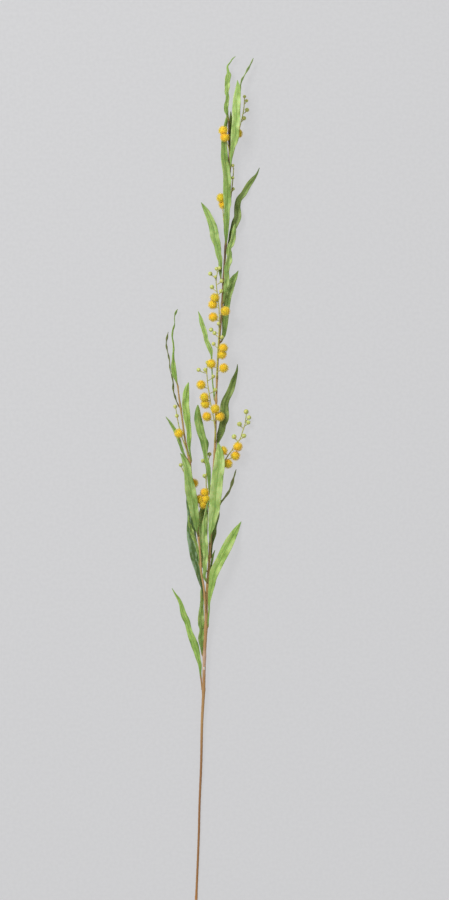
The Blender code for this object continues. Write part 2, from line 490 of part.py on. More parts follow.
def pedicel(name, stalk_route, middle, finish, collection):
    """The short stem of one ball, from a point on the stalk a little below it to its middle."""
    low = [p for p in stalk_route if p[1] <= middle[1] - pedicel_drop] or stalk_route[:1]
    start = min(low, key=lambda p: (Vector(p[:3]) - Vector(middle[:3])).length)
    a, b = in_place(start), in_place(middle)
    data = bpy.data.meshes.new(name)
    shape = bmesh.new()
    bmesh.ops.create_cone(
        shape, cap_ends=True, segments=pedicel_sides, depth=(b - a).length,
        radius1=pedicel_radius * MM, radius2=pedicel_radius * MM)
    shape.to_mesh(data)
    shape.free()
    data.materials.append(finish)
    made = bpy.data.objects.new(name, data)
    made.rotation_mode = "QUATERNION"
    made.rotation_quaternion = (b - a).to_track_quat("Z", "Y")
    made.location = (a + b) / 2
    collection.objects.link(made)
    return made


def keep_largest_shell(data):
    """Fills the tiny hollows that fusing seals, and drops loose scraps."""
    shape = bmesh.new()
    shape.from_mesh(data)
    unseen = set(shape.verts)
    shells = []
    while unseen:
        shell = set()
        ahead = [unseen.pop()]
        while ahead:
            corner = ahead.pop()
            shell.add(corner)
            for edge in corner.link_edges:
                other = edge.other_vert(corner)
                if other in unseen:
                    unseen.remove(other)
                    ahead.append(other)
        shells.append(shell)
    largest = max(shells, key=len)
    bmesh.ops.delete(shape, geom=[v for v in shape.verts if v not in largest], context="VERTS")
    shape.to_mesh(data)
    shape.free()


def make_spray(name, spray, stem_routes, finishes, collection):
    """One flower stalk with its pedicels, buds and flower heads, fused into one body."""
    base = seat(stem_routes, spray, lambda tangent, outward: stalk_radius)
    length = (Vector(spray["stalk"][-1]) - base).length
    route = smooth_route([tuple(base), *spray["stalk"]], max(3, round(length / stalk_step)))
    route = [(*p[:3], stalk_radius) for p in route]
    stalk = as_mesh(tube(name, route, stalk_bevel, collection), collection)
    stalk.data.materials.append(finishes["stalk"])
    pieces = new_collection(name + "_pieces")
    for k, head in enumerate(spray["heads"]):
        pedicel(f"{name}_head_stem_{k}", route, head, finishes["stalk"], pieces)
        ball(f"{name}_head_{k}", head, flower_radius, True, finishes["flower"], pieces)
    for k, bud in enumerate(spray["buds"]):
        pedicel(f"{name}_bud_stem_{k}", route, bud, finishes["stalk"], pieces)
        ball(f"{name}_bud_{k}", bud, bud[3], False, finishes["stalk"], pieces)
    join = stalk.modifiers.new("join", "BOOLEAN")
    join.operation = "UNION"
    join.operand_type = "COLLECTION"
    join.collection = pieces
    join.solver = "EXACT"
    join.material_mode = "TRANSFER"
    bpy.context.view_layer.update()
    graph = bpy.context.evaluated_depsgraph_get()
    joined = bpy.data.meshes.new_from_object(stalk.evaluated_get(graph))
    keep_largest_shell(joined)
    stalk.modifiers.clear()
    stalk.data = joined
    for piece in list(pieces.objects):
        bpy.data.objects.remove(piece, do_unlink=True)
    bpy.data.collections.remove(pieces)
    return stalk


def make_stem(name, route, finish, collection):
    made = tube(name, route, stem_bevel, collection)
    made.data.materials.append(finish)
    return made


def main():
    clear_scene()
    sprig = new_collection("mimosa_sprig")
    finishes = {name: material(name) for name in colours}
    stem_routes = {name: smooth_route(points, stem_steps) for name, points in stems.items()}
    for name, route in stem_routes.items():
        make_stem(name, route, finishes["bark"], sprig)
    for name, leaf in leaves.items():
        make_leaf(name, leaf, stem_routes, finishes["leaf"], sprig)
    for name, spray in sprays.items():
        make_spray(name, spray, stem_routes, finishes, sprig)


main()
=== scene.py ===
# Mimosa sprig lying on a pale light table: taped wire stem, wavy cloth leaves, moulded stalks, fluffy heads.
# Lengths in the tables are millimetres: x to the right, y up from the foot of the stem, z up from the table.
from functools import partial
from math import cos, exp, pi, radians, sin

import bmesh
import bpy
from mathutils import Matrix, Vector, noise


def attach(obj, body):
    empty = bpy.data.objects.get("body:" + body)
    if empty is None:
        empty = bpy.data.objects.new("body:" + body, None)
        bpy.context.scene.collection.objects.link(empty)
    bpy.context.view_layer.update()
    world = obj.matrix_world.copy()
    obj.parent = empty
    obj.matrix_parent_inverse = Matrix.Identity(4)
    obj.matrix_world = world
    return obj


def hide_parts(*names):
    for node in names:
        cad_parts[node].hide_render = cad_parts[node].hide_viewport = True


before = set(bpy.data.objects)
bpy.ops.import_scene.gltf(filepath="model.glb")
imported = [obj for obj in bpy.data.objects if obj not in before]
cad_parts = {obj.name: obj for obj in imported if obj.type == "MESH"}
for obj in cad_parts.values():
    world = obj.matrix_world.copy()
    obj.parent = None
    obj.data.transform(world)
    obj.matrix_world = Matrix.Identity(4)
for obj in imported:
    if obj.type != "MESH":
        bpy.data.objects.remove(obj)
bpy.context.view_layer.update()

mm = 0.001
layout = dict(
    middle=(0.65, 506.14),  # middle of the sprig's footprint, the frame's origin
    sprigLong=1012.0,  # from the cut end to the topmost tip
    gap=0.3,  # the model's gap between a leaf's foot and the bark
    stemSteps=34,  # points along a stem's route, as the model has them
)
pieces = bpy.data.collections.new("mimosa")
bpy.context.scene.collection.children.link(pieces)


def inPlace(point):
    return Vector((point[0] - layout["middle"][0], point[1] - layout["middle"][1], point[2])) * mm


# Routes: the same rule as the model's, so every piece lies where its solid does
def smoothRoute(points, steps):
    points = [tuple(map(float, p)) for p in points]
    before = tuple(2 * a - b for a, b in zip(points[0], points[1]))
    after = tuple(2 * a - b for a, b in zip(points[-1], points[-2]))
    knots = [before, *points, after]
    fine = 12  # points on each stretch of the curve
    dense = []
    for i in range(1, len(knots) - 2):
        p0, p1, p2, p3 = knots[i - 1 : i + 3]
        for k in range(fine):
            t = k / fine
            dense.append(tuple(
                b + ((c - a) * t + (2 * a - 5 * b + 4 * c - d) * t**2 + (3 * b - a - 3 * c + d) * t**3) / 2
                for a, b, c, d in zip(p0, p1, p2, p3)))
    dense.append(points[-1])
    travelled = [0.0]
    for a, b in zip(dense, dense[1:]):
        travelled.append(travelled[-1] + (Vector(b[:3]) - Vector(a[:3])).length)
    route = []
    i = 0
    for k in range(steps + 1):
        along = travelled[-1] * k / steps
        while i < len(dense) - 2 and travelled[i + 1] < along:
            i += 1
        share = (along - travelled[i]) / (travelled[i + 1] - travelled[i])
        route.append(tuple(a + (b - a) * share for a, b in zip(dense[i], dense[i + 1])))
    return route


def directions(route):
    places = [Vector(p[:3]) for p in route]
    ahead = places[1:] + [places[-1] * 2 - places[-2]]
    behind = [places[0] * 2 - places[1]] + places[:-1]
    return [(a - b).normalized() for a, b in zip(ahead, behind)]


def routeLength(route):
    return sum((Vector(b[:3]) - Vector(a[:3])).length for a, b in zip(route, route[1:]))


# The middle, direction and radius of a stem at a height
def onStem(name, height):
    route = stemRoutes[name]
    i = max(k for k in range(len(route) - 1) if k == 0 or route[k][1] <= height)
    share = min(1, (height - route[i][1]) / (route[i + 1][1] - route[i][1]))
    here = [a + (b - a) * share for a, b in zip(route[i], route[i + 1])]
    return Vector(here[:3]), directions(route)[i], here[3]


# Leaves and stalks leave the main stem, unless their table names the other
def stemOf(piece):
    return piece.get("on", "main_stem")


# Where a leaf or stalk leaves its stem: the middle of its foot, and the way out from the wood
def seatOf(piece, reach):
    middle, tangent, radius = onStem(stemOf(piece), piece["at"])
    if piece["around"] is None:
        return middle + tangent * layout["gap"], tangent
    side = tangent.cross(Vector((0, 0, 1))).normalized()
    up = side.cross(tangent)
    outward = side * cos(radians(piece["around"])) + up * sin(radians(piece["around"]))
    return middle + outward * (radius + layout["gap"] + reach(tangent, outward)), outward


def hexColour(text):
    parts = [int(text[k : k + 2], 16) / 255 for k in (1, 3, 5)]
    return (*[c / 12.92 if c <= 0.04045 else ((c + 0.055) / 1.055) ** 2.4 for c in parts], 1)


# Adds a node with its settings, for materials and geometry alike, and returns one of its outputs.
# An input, by name or number, takes a value, an output, or a list of outputs to join; stops are a colour ramp's.
def addNode(tree, kind, inputs=(), out=0, stops=(), **settings):
    node = tree.nodes.new(kind)
    for name, value in settings.items():
        setattr(node, name, value)
    for k, (place, colour) in enumerate(stops):
        stop = node.color_ramp.elements[k] if k < 2 else node.color_ramp.elements.new(place)
        stop.position, stop.color = place, hexColour(colour)
    for key, value in inputs.items() if isinstance(inputs, dict) else enumerate(inputs):
        if isinstance(key, int):
            socket = node.inputs[key]
        else:
            socket = next(s for s in node.inputs if s.name == key and s.enabled)
        for one in value if isinstance(value, list) else [value]:
            if isinstance(one, bpy.types.NodeSocket):
                tree.links.new(one, socket)
            else:
                socket.default_value = one
    return node.outputs[out] if node.outputs else None


# A modifier's tree with its sizes and counts as named inputs, and the material that it ends in
def growthTree(name, sizes, counts):
    tree = bpy.data.node_groups.new(name, "GeometryNodeTree")
    tree.is_modifier = True
    kinds = [("Geometry", "Geometry"), *[(size, "Float") for size in sizes],
             *[(count, "Int") for count in counts], ("Finish", "Material")]
    for label, kind in kinds:
        tree.interface.new_socket(label, in_out="INPUT", socket_type="NodeSocket" + kind)
    tree.interface.new_socket("Geometry", in_out="OUTPUT", socket_type="NodeSocketGeometry")
    return tree, partial(addNode, tree), addNode(tree, "NodeGroupInput").node.outputs


def endTree(tree, geometry, given):
    real = addNode(tree, "GeometryNodeRealizeInstances", {"Geometry": geometry})
    dressed = addNode(tree, "GeometryNodeSetMaterial", {"Geometry": real, "Material": given["Finish"]})
    addNode(tree, "NodeGroupOutput", [dressed])
    return tree


# Moves every point of a surface along its normal
def swellBy(add, surface, rise):
    push = add("ShaderNodeVectorMath", {0: add("GeometryNodeInputNormal"), "Scale": rise}, operation="SCALE")
    return add("GeometryNodeSetPosition", {"Geometry": surface, "Offset": push})


# Lumps so many millimetres long, from half of a height below the surface to half above it
def lumpsOf(add, size, height):
    lumps = add("ShaderNodeTexNoise", {
        "Vector": add("GeometryNodeInputPosition"), "Scale": 1 / (size * mm), "Detail": 2.0})
    centred = add("ShaderNodeMath", [lumps, 0.5], operation="SUBTRACT")
    return add("ShaderNodeMath", [centred, height], operation="MULTIPLY")


# Keeps what a seed's modifiers make of it as a plain mesh, and removes the seed
def bake(seed, name):
    pieces.objects.link(seed)
    graph = bpy.context.evaluated_depsgraph_get()
    made = bpy.data.meshes.new_from_object(seed.evaluated_get(graph))
    bpy.data.objects.remove(seed, do_unlink=True)
    made.name = name
    made.shade_smooth()
    piece = bpy.data.objects.new(name, made)
    pieces.objects.link(piece)
    return piece


# Every piece joins the root body, and the solid of the model that it stands in for is hidden
def settle(piece, node):
    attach(piece, "root")
    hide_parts(node)


# A bmesh as an object with its materials
def objectOf(shape, name, *finishes):
    mesh = bpy.data.meshes.new(name)
    shape.to_mesh(mesh)
    shape.free()
    for finish in finishes:
        mesh.materials.append(finish)
    return bpy.data.objects.new(name, mesh)


# Chains of edges, one per tube, each point (x, y, z, radius); a chain of one point is a loose seed
def chainMesh(name, chains):
    mesh = bpy.data.meshes.new(name)
    corners = [p for chain in chains for p in chain]
    edges = []
    start = 0
    for chain in chains:
        edges += [(start + k, start + k + 1) for k in range(len(chain) - 1)]
        start += len(chain)
    mesh.from_pydata([inPlace(p) for p in corners], edges, [])
    girth = mesh.attributes.new("girth", "FLOAT", "POINT")
    for k, p in enumerate(corners):
        girth.data[k].value = p[3] * mm
    return bpy.data.objects.new(name, mesh)


# Grows a node's piece out of chains with a tree; lengths are in millimetres, others have no unit
def grow(node, ending, chains, tree, finish, lengths, others):
    seed = chainMesh(node, chains)
    growth = seed.modifiers.new("growth", "NODES")
    growth.node_group = tree
    values = {**{name: length * mm for name, length in lengths.items()}, **others, "Finish": finish}
    for socket in tree.interface.items_tree:
        if socket.in_out == "INPUT" and socket.name in values:
            growth[socket.identifier] = values[socket.name]
    settle(bake(seed, node + ending), node)


# Stems: x, y, z of the middle of the wood, and its radius
stemTable = {
    "main_stem": [
        (-19, 0, 1.7, 1.4), (-16, 73, 1.9, 1.35), (-15, 113, 2.4, 1.35), (-13, 163, 3.2, 1.45),
        (-12, 212, 4.4, 1.6), (-10, 252, 5.6, 1.85), (-9, 294, 7, 1.55), (-7, 334, 8, 1.7),
        (-7, 355, 8.8, 1.75), (-6, 372, 9.4, 1.6), (-4, 395, 10.2, 1.4), (-2, 432, 11.5, 1.35),
        (0, 486, 12.5, 1.3), (3, 534, 13, 1.3), (4, 554, 13, 1.25), (5, 594, 13.5, 1.2), (7, 648, 14, 1.2),
        (11, 698, 14, 1.2), (14, 749, 13.5, 1.25), (17, 794, 12.8, 1.3), (19, 834, 12, 1.25),
        (21, 874, 11, 1.1), (21, 906, 10.5, 1.05), (20, 934, 10, 0.8),
    ],
    "side_branch": [
        (-8, 346, 11.8, 0.8), (-8.4, 360, 12.6, 1.2), (-10, 377, 13.2, 1.2), (-13, 395, 13.4, 1.2),
        (-14, 414, 13.2, 1.2), (-17, 444, 13, 1.2), (-22, 480, 12.5, 1.15), (-26, 521, 12, 1.15),
        (-30, 541, 11.5, 1.15), (-33, 557, 11.2, 1.1), (-35, 572, 11, 1.1), (-37, 587, 10.5, 1.1),
        (-39, 600, 10, 1.05), (-41, 617, 9.5, 0.8),
    ],
}

# Leaves from the foot up. on, at and around: the stem, the main one if left out, the height along it and the
# side that the leaf leaves from, in degrees, 0 right, 90 up, 180 left, None for the stem's own tip. roll: how
# far the blade is turned about its rib, at foot and tip. waves: height and number. wrapped: millimetres at the
# foot that are bound to the stem. route: x, y, z of the rib, half the blade's width.
leafTable = {
    "leaf_01": dict(at=252, around=180, roll=(-25, 5), waves=(0.9, 4), green="fresh", wrapped=14,
        fold=-0.1, route=[
        (-13.3, 264, 4.5, 0.9), (-14, 273, 4.2, 1.3), (-14.5, 282, 4.5, 2.3), (-16.5, 290, 4.5, 2.9),
        (-18.5, 298, 4.5, 3.7), (-21, 306, 4, 4.5), (-23.5, 313, 4, 4.3), (-26.5, 321, 3, 3.5),
        (-28.5, 328, 2.5, 3.2), (-30, 334, 2, 3.6), (-33, 340, 1.5, 3.7), (-35, 346, 1, 3.3),
        (-37, 354, 0.5, 2.4), (-40, 361, 0, 1.9), (-44, 367, 0, 1.1), (-48, 374, 0, 0.3)]),
    "leaf_02": dict(at=292, around=180, roll=(8, 12), waves=(0.8, 4), green="mid", route=[
        (-12, 297, 5.5, 1.1), (-12.5, 304, 5, 2), (-13, 310, 4.5, 3.1), (-13, 316, 4, 3.8),
        (-12.5, 324, 3.5, 2.6), (-13, 331, 3.5, 3.8), (-13.5, 338, 3.5, 3.7), (-13, 345, 3.5, 3.3),
        (-12.5, 352, 3, 2.4), (-12, 361, 3, 2.2), (-12.5, 369, 3, 1.8), (-12, 378, 3, 0.4)]),
    "leaf_03": dict(at=326, around=10, roll=(-15, 5), waves=(1.3, 4), green="fresh", route=[
        (-4.5, 336, 11.5, 0.9), (-3.5, 348, 11.5, 1), (-3.5, 356, 12, 1.3), (-2.5, 364, 13, 2.2),
        (-1.5, 371, 14, 3), (0, 379, 15, 3.9), (1, 387, 15.5, 4.8), (3.5, 395, 16.5, 5.7), (7, 402, 16.5, 5.5),
        (10.5, 409, 16, 5.5), (14, 416, 15, 5.8), (18, 424, 13, 5.9), (21.5, 431, 10.5, 5.5),
        (25.5, 438, 7.5, 4.6), (29, 444, 4.5, 3.4), (32, 449, 3, 1.9), (35, 454, 1, 0.3)]),
    "leaf_04": dict(at=360, around=200, roll=(20, -5), waves=(1.1, 4), green="frosted", route=[
        (-12, 374, 5, 1.3), (-13.5, 381, 5, 2.3), (-15.5, 390, 4, 3.5), (-17.5, 398, 3, 4.3),
        (-20, 407, 2.5, 4.9), (-21.5, 416, 2, 5.5), (-23, 426, 2, 5.7), (-24.5, 435, 1.5, 5.7),
        (-25, 445, 1.5, 5.4), (-25, 455, 1, 4.8), (-25.5, 464, 0.5, 4.3), (-27, 473, 0.5, 3.6),
        (-28.5, 480, 0, 2.7), (-30, 487, 0, 0.5)]),
    "leaf_05": dict(at=388, around=350, roll=(0, 20), waves=(0.4, 2), green="mid", route=[
        (-1, 401, 8.5, 1.1), (0, 407, 8, 1.3), (1, 413, 7.5, 1.4), (3.5, 420, 7, 0.3)]),
    "leaf_06": dict(at=380, around=80, roll=(0, 30), waves=(1.6, 4), green="pale", route=[
        (-9, 388, 16.5, 1.7), (-8.5, 396, 16.5, 2.3), (-8.5, 405, 17, 2.7), (-7.5, 413, 17.5, 3.1),
        (-8, 420, 18, 3.7), (-8.5, 427, 18, 3.7), (-9.5, 435, 18, 3.4), (-9, 443, 18, 3.4), (-9.5, 450, 18, 2.8),
        (-8.5, 459, 18, 2.1), (-7, 467, 18, 1.7), (-5.5, 474, 19, 1.2), (-4, 480, 20, 0.4)]),
    "leaf_07": dict(at=394, around=200, roll=(0, -10), waves=(1, 3), green="mid", route=[
        (-10.2, 401, 6.5, 2.1), (-11, 413, 6, 3.3), (-11, 425, 5, 4.4), (-11, 435, 4, 5.3), (-11, 446, 3.5, 6),
        (-10.5, 456, 3, 6.1), (-10, 465, 2.5, 5.5), (-9.5, 474, 2, 3.7), (-10, 482, 1.5, 0.6)]),
    "leaf_08": dict(at=410, around=330, roll=(0, 10), waves=(1, 3), green="deep", route=[
        (-1, 417, 8, 1.2), (-0.5, 426, 8, 1.6), (0.5, 433, 7.5, 2.5), (2, 440, 7, 3.3), (2.5, 447, 7, 3.1),
        (3.5, 455, 6.5, 3.9), (5, 462, 6.5, 4), (5, 469, 6, 3.3), (5.5, 478, 6, 1.8), (6, 485, 6, 0.4)]),
    "leaf_09": dict(at=426, around=90, roll=(0, 8), waves=(1, 4), green="pale", route=[
        (-2.5, 438, 17.5, 1.2), (-1.5, 444, 17.5, 2.9), (0, 450, 18, 4.1), (1, 459, 19.5, 5.3),
        (2.5, 467, 21, 6.4), (3.5, 474, 21.5, 6.5), (4, 483, 22.5, 7.1), (5, 492, 23.5, 7.2), (6, 502, 24, 7.2),
        (7, 511, 24.5, 7), (8.5, 521, 24.5, 6.7), (9, 529, 24, 6), (9, 536, 23.5, 4.9), (8.5, 542, 22.5, 3.1),
        (7.5, 549, 22, 0.5)]),
    "leaf_10": dict(on="side_branch", at=401, around=190, roll=(30, 50), waves=(0.7, 3), green="pale", route=[
        (-15.5, 413, 11, 1.3), (-17.5, 421, 11, 1.8), (-19.5, 428, 10.5, 2.1), (-22.5, 436, 10, 2.5),
        (-25, 443, 9.5, 2.8), (-26.5, 449, 9.5, 2.5), (-27.5, 455, 9, 1.8), (-27.5, 462, 8.5, 0.4)]),
    "leaf_11": dict(on="side_branch", at=436, around=100, roll=(0, -5), waves=(1.1, 4), green="mid", route=[
        (-18, 443, 17.5, 1.2), (-19, 449, 17.5, 2.4), (-19, 455, 17.5, 3.8), (-20.5, 462, 18, 5),
        (-21.5, 469, 18.5, 5.4), (-23, 478, 19, 6), (-24.5, 486, 19, 6.4), (-26, 494, 19, 6.4),
        (-27.5, 503, 19, 5.3), (-28.5, 511, 18.5, 4.8), (-30, 520, 17.5, 4.6), (-32.5, 527, 16, 3.5),
        (-35.5, 533, 15, 1.8), (-38, 536, 14, 0.4)]),
    "leaf_12": dict(at=448, around=345, roll=(40, 65), waves=(0.5, 2), green="olive", route=[
        (9, 474, 10.5, 1.6), (13.5, 481, 10, 1.9), (17.5, 487, 9.5, 2.2), (20.5, 492, 8.5, 2.6),
        (23, 498, 8, 2.8), (25, 504, 7.5, 3), (27, 510, 7, 2), (29, 517, 6, 0.3)]),
    "leaf_13": dict(at=484, around=150, roll=(-30, 10), waves=(1, 3), green="mid", fold=-0.15, route=[
        (-3, 494, 15.5, 1.2), (-3.5, 502, 15.5, 1.8), (-4, 511, 15.5, 2.8), (-5, 521, 16, 3), (-7, 529, 16, 2.6),
        (-8, 535, 16, 2.6), (-8.5, 542, 16, 3.9), (-9, 548, 16, 4.9), (-11, 554, 15.5, 4.3),
        (-13.5, 562, 15.5, 4.7), (-15, 569, 15, 4.8), (-16.5, 576, 14, 4.7), (-17, 583, 13.5, 3.7),
        (-17, 589, 12.5, 2.5), (-17, 594, 12, 0.6)]),
    "leaf_14": dict(on="side_branch", at=528, around=190, roll=(-20, -35), waves=(0.6, 2), green="mid", route=[
        (-32.5, 533, 10.5, 1.2), (-35, 538, 9, 1.6), (-37.5, 545, 7.5, 2.1), (-39.5, 552, 5.5, 2.4),
        (-42, 559, 4, 2.6), (-45, 565, 3, 2.4), (-48.5, 570, 2, 2), (-52.5, 576, 1, 1.3), (-55.5, 580, 0, 0.3)]),
    "leaf_15": dict(on="side_branch", at=524, around=0, roll=(20, 10), waves=(0.9, 3), green="fresh", route=[
        (-25.7, 533, 12.5, 1), (-27, 541, 12.5, 1.4), (-27.5, 548, 12.5, 2.4), (-27.5, 557, 13, 2.9),
        (-28, 565, 13, 3.2), (-29.5, 575, 13.5, 4), (-30.5, 584, 13.5, 4.3), (-32, 594, 13, 4.3),
        (-31.5, 601, 13, 4.3), (-31, 608, 12.5, 3.8), (-30, 614, 11.5, 2.8), (-29, 618, 11.5, 1.6),
        (-28, 621, 11, 0.4)]),
    "leaf_16": dict(at=538, around=350, roll=(-10, 15), waves=(1.2, 3), green="deep", route=[
        (6.5, 545, 11.8, 1), (7.6, 551, 10.8, 2), (9.5, 558, 10.2, 3.8), (11.5, 564, 9.8, 4.2),
        (13, 571, 9.3, 4.3), (15, 578, 9, 5.2), (15, 587, 8, 5.2), (15, 594, 7.5, 4.9), (17, 601, 7, 4.3),
        (20, 607, 6.5, 4.1), (23, 614, 6, 4.1), (25.5, 622, 6, 3.6), (28, 629, 5.5, 2.4), (30, 636, 5, 1.3),
        (30.5, 643, 5, 0.3)]),
    "leaf_17": dict(on="side_branch", at=590, around=200, roll=(60, 65), waves=(0.5, 3), green="olive", route=[
        (-43, 599, 7.5, 2), (-45, 606, 7, 2), (-46.5, 613, 6, 1.9), (-47.5, 624, 5.5, 1.8), (-50, 635, 4.5, 1.6),
        (-51, 646, 4, 1.5), (-53.5, 657, 3, 1.8), (-55, 666, 2, 2.2), (-54, 675, 1, 2), (-52.5, 682, 0.5, 0.3)]),
    "leaf_18": dict(at=598, around=190, roll=(-10, 10), waves=(0.7, 3), green="pale", route=[
        (2.5, 608, 11.5, 1.1), (1, 618, 10, 0.8), (0.5, 626, 9.5, 0.8), (0, 636, 8, 0.8), (-0.5, 646, 7.5, 0.8),
        (-0.5, 653, 8, 1.2), (-1.5, 659, 9, 2.6), (-4, 665, 10, 2.8), (-7, 672, 11, 2.5), (-8, 678, 11.5, 2.8),
        (-10, 685, 12, 2.8), (-12, 691, 12, 2.7), (-13.5, 697, 12, 2.1), (-15, 702, 12, 1.1),
        (-16.5, 706, 12, 0.3)]),
    "leaf_19": dict(on="side_branch", at=617, around=None, roll=(0, 75), waves=(0.5, 4), green="fresh", route=[
        (-42.5, 622, 9.5, 1.2), (-44.5, 629, 9.5, 2.7), (-46, 636, 9.5, 3.3), (-46.5, 643, 9, 2.7),
        (-46.5, 652, 9, 1.6), (-46, 663, 8.5, 1.2), (-47.5, 675, 7.5, 1.3), (-47, 683, 7.5, 1.5),
        (-45, 691, 7, 1.2), (-45, 699, 6, 1), (-44, 703, 5.5, 2.4), (-42.5, 707, 5.5, 2), (-41, 709, 5, 0.3)]),
    "leaf_20": dict(at=668, around=340, roll=(15, -10), waves=(0.8, 3), green="mid", route=[
        (12.5, 673, 12, 1.2), (14, 678, 12, 2.4), (15, 684, 12, 2.8), (15.5, 691, 11.5, 3.5), (16, 700, 11, 4),
        (17, 708, 10.5, 3.8), (18, 716, 9.5, 4), (19, 725, 9, 4.6), (21.5, 733, 8.5, 4.8), (24, 741, 7.5, 4.3),
        (27, 747, 7, 3.4), (29.5, 751, 6.5, 1.8), (31.5, 755, 6, 0.3)]),
    "leaf_21": dict(at=714, around=60, roll=(25, 35), waves=(1.4, 4), green="pale", route=[
        (14.5, 722, 17.5, 1.3), (16, 732, 17.5, 2.4), (17, 741, 17.5, 3.4), (17.5, 750, 18, 3.7),
        (18, 758, 18.5, 3.3), (19.5, 766, 19, 4.1), (20.5, 774, 19, 4.2), (20.5, 781, 19.5, 3.1),
        (23, 787, 19.5, 3.4), (25, 794, 19, 3.7), (26.5, 801, 18.5, 3.2), (27, 807, 18, 1.7),
        (27.5, 811, 18, 0.3)]),
    "leaf_22": dict(at=742, around=185, roll=(-25, -5), waves=(1, 4), green="mid", route=[
        (10.5, 748, 12.5, 1.2), (10, 754, 12.5, 2), (10, 761, 12.5, 2.4), (10, 768, 12, 3.1), (8, 775, 12, 3.5),
        (7, 782, 11.5, 4), (6, 788, 11, 4.7), (4, 794, 10.5, 5.3), (2.5, 802, 9.5, 5.2), (1, 808, 8.5, 5),
        (-1, 814, 7.5, 4.5), (-3.5, 820, 6.5, 3.8), (-6.5, 826, 5.5, 3.3), (-10, 832, 4.5, 1.9),
        (-13, 837, 4, 0.3)]),
    "leaf_23": dict(at=780, around=345, roll=(15, -5), waves=(1.2, 3), green="deep", route=[
        (19.5, 786, 10.5, 1), (21, 792, 10.5, 1.6), (23.5, 801, 9.5, 2.7), (26, 807, 8.5, 3.7),
        (28, 813, 7.5, 4.4), (30.5, 819, 6.5, 4.4), (30.5, 826, 5.5, 4.2), (30.5, 833, 4.5, 3.7),
        (32.5, 841, 3, 3.5), (37.5, 847, 2.5, 3.5), (41, 853, 1.5, 3.4), (44.5, 859, 1, 3.2),
        (49, 865, 0.5, 2.6), (53.5, 871, 0.5, 1.3), (57, 879, 0, 0.3)]),
    "leaf_24": dict(at=784, around=90, roll=(0, 25), waves=(1.1, 4), green="mid", route=[
        (17, 793, 17, 1.8), (17, 802, 17.5, 2.9), (17.5, 816, 18, 3.5), (18, 828, 18.5, 3.5),
        (18.5, 836, 18, 4.7), (18, 846, 18, 4.7), (18, 854, 17.5, 4.8), (18, 864, 17, 4.8), (17, 873, 16.5, 4.7),
        (16, 882, 14.5, 5), (15, 890, 13.5, 4.4), (14.5, 900, 12, 3.8), (14, 909, 11, 3.3), (15, 919, 10, 2.8),
        (16, 927, 9, 2.6), (17.5, 936, 7.5, 1.7), (18.5, 943, 6.5, 0.4)]),
    "leaf_25": dict(at=876, around=50, roll=(15, -5), waves=(0.9, 4), green="pale", route=[
        (22.5, 883, 17, 1.1), (23, 890, 17, 1.7), (24, 897, 18.5, 2.2), (25, 903, 20, 2.8), (26.5, 909, 22, 4.4),
        (27.5, 916, 23, 5.1), (28, 925, 24.5, 4.7), (29, 935, 24.5, 4.9), (29, 944, 24.5, 4.9),
        (29.5, 953, 24, 4.8), (30, 961, 23, 4.4), (31, 970, 22, 3.4), (31, 976, 21, 2.2), (30.5, 982, 20, 0.3)]),
    "leaf_26": dict(at=884, around=330, roll=(-25, 25), waves=(0.8, 3), green="deep", route=[
        (22, 882, 8.5, 1.1), (22.5, 900, 8, 1.9), (22.7, 918, 6.5, 2), (22.7, 931, 6, 2.1),
        (22.7, 939, 5.5, 1.6), (22.5, 946, 5, 0.4)]),
    "leaf_27": dict(at=912, around=0, roll=(70, 70), waves=(0.5, 3), green="pale", route=[
        (27, 938, 11, 2.4), (31.5, 962, 11, 2.7), (34, 978, 10, 2.6), (35, 984, 10, 2.7), (39, 990, 9, 2.7),
        (42.5, 996, 8.5, 2.6), (46, 1002, 8, 2.4), (49.5, 1010, 6, 0.4)]),
    "leaf_28": dict(at=934, around=None, roll=(35, 5), waves=(0.7, 4), green="pale", route=[
        (17, 947, 10, 2.8), (17, 953, 10, 2.7), (18, 959, 9.5, 2.4), (18.5, 964, 9.5, 2.4), (17.5, 969, 9, 2.5),
        (18, 975, 8.5, 3.1), (18, 981, 8.5, 3.3), (19, 986, 8, 3.4), (20, 990, 8, 3.2), (19.5, 993, 8, 1.8),
        (18.5, 998, 7.5, 1.3), (19, 1001, 7, 1), (22, 1005, 6.5, 0.7), (24.5, 1009, 6, 0.7),
        (28, 1012, 5, 0.4)]),
}

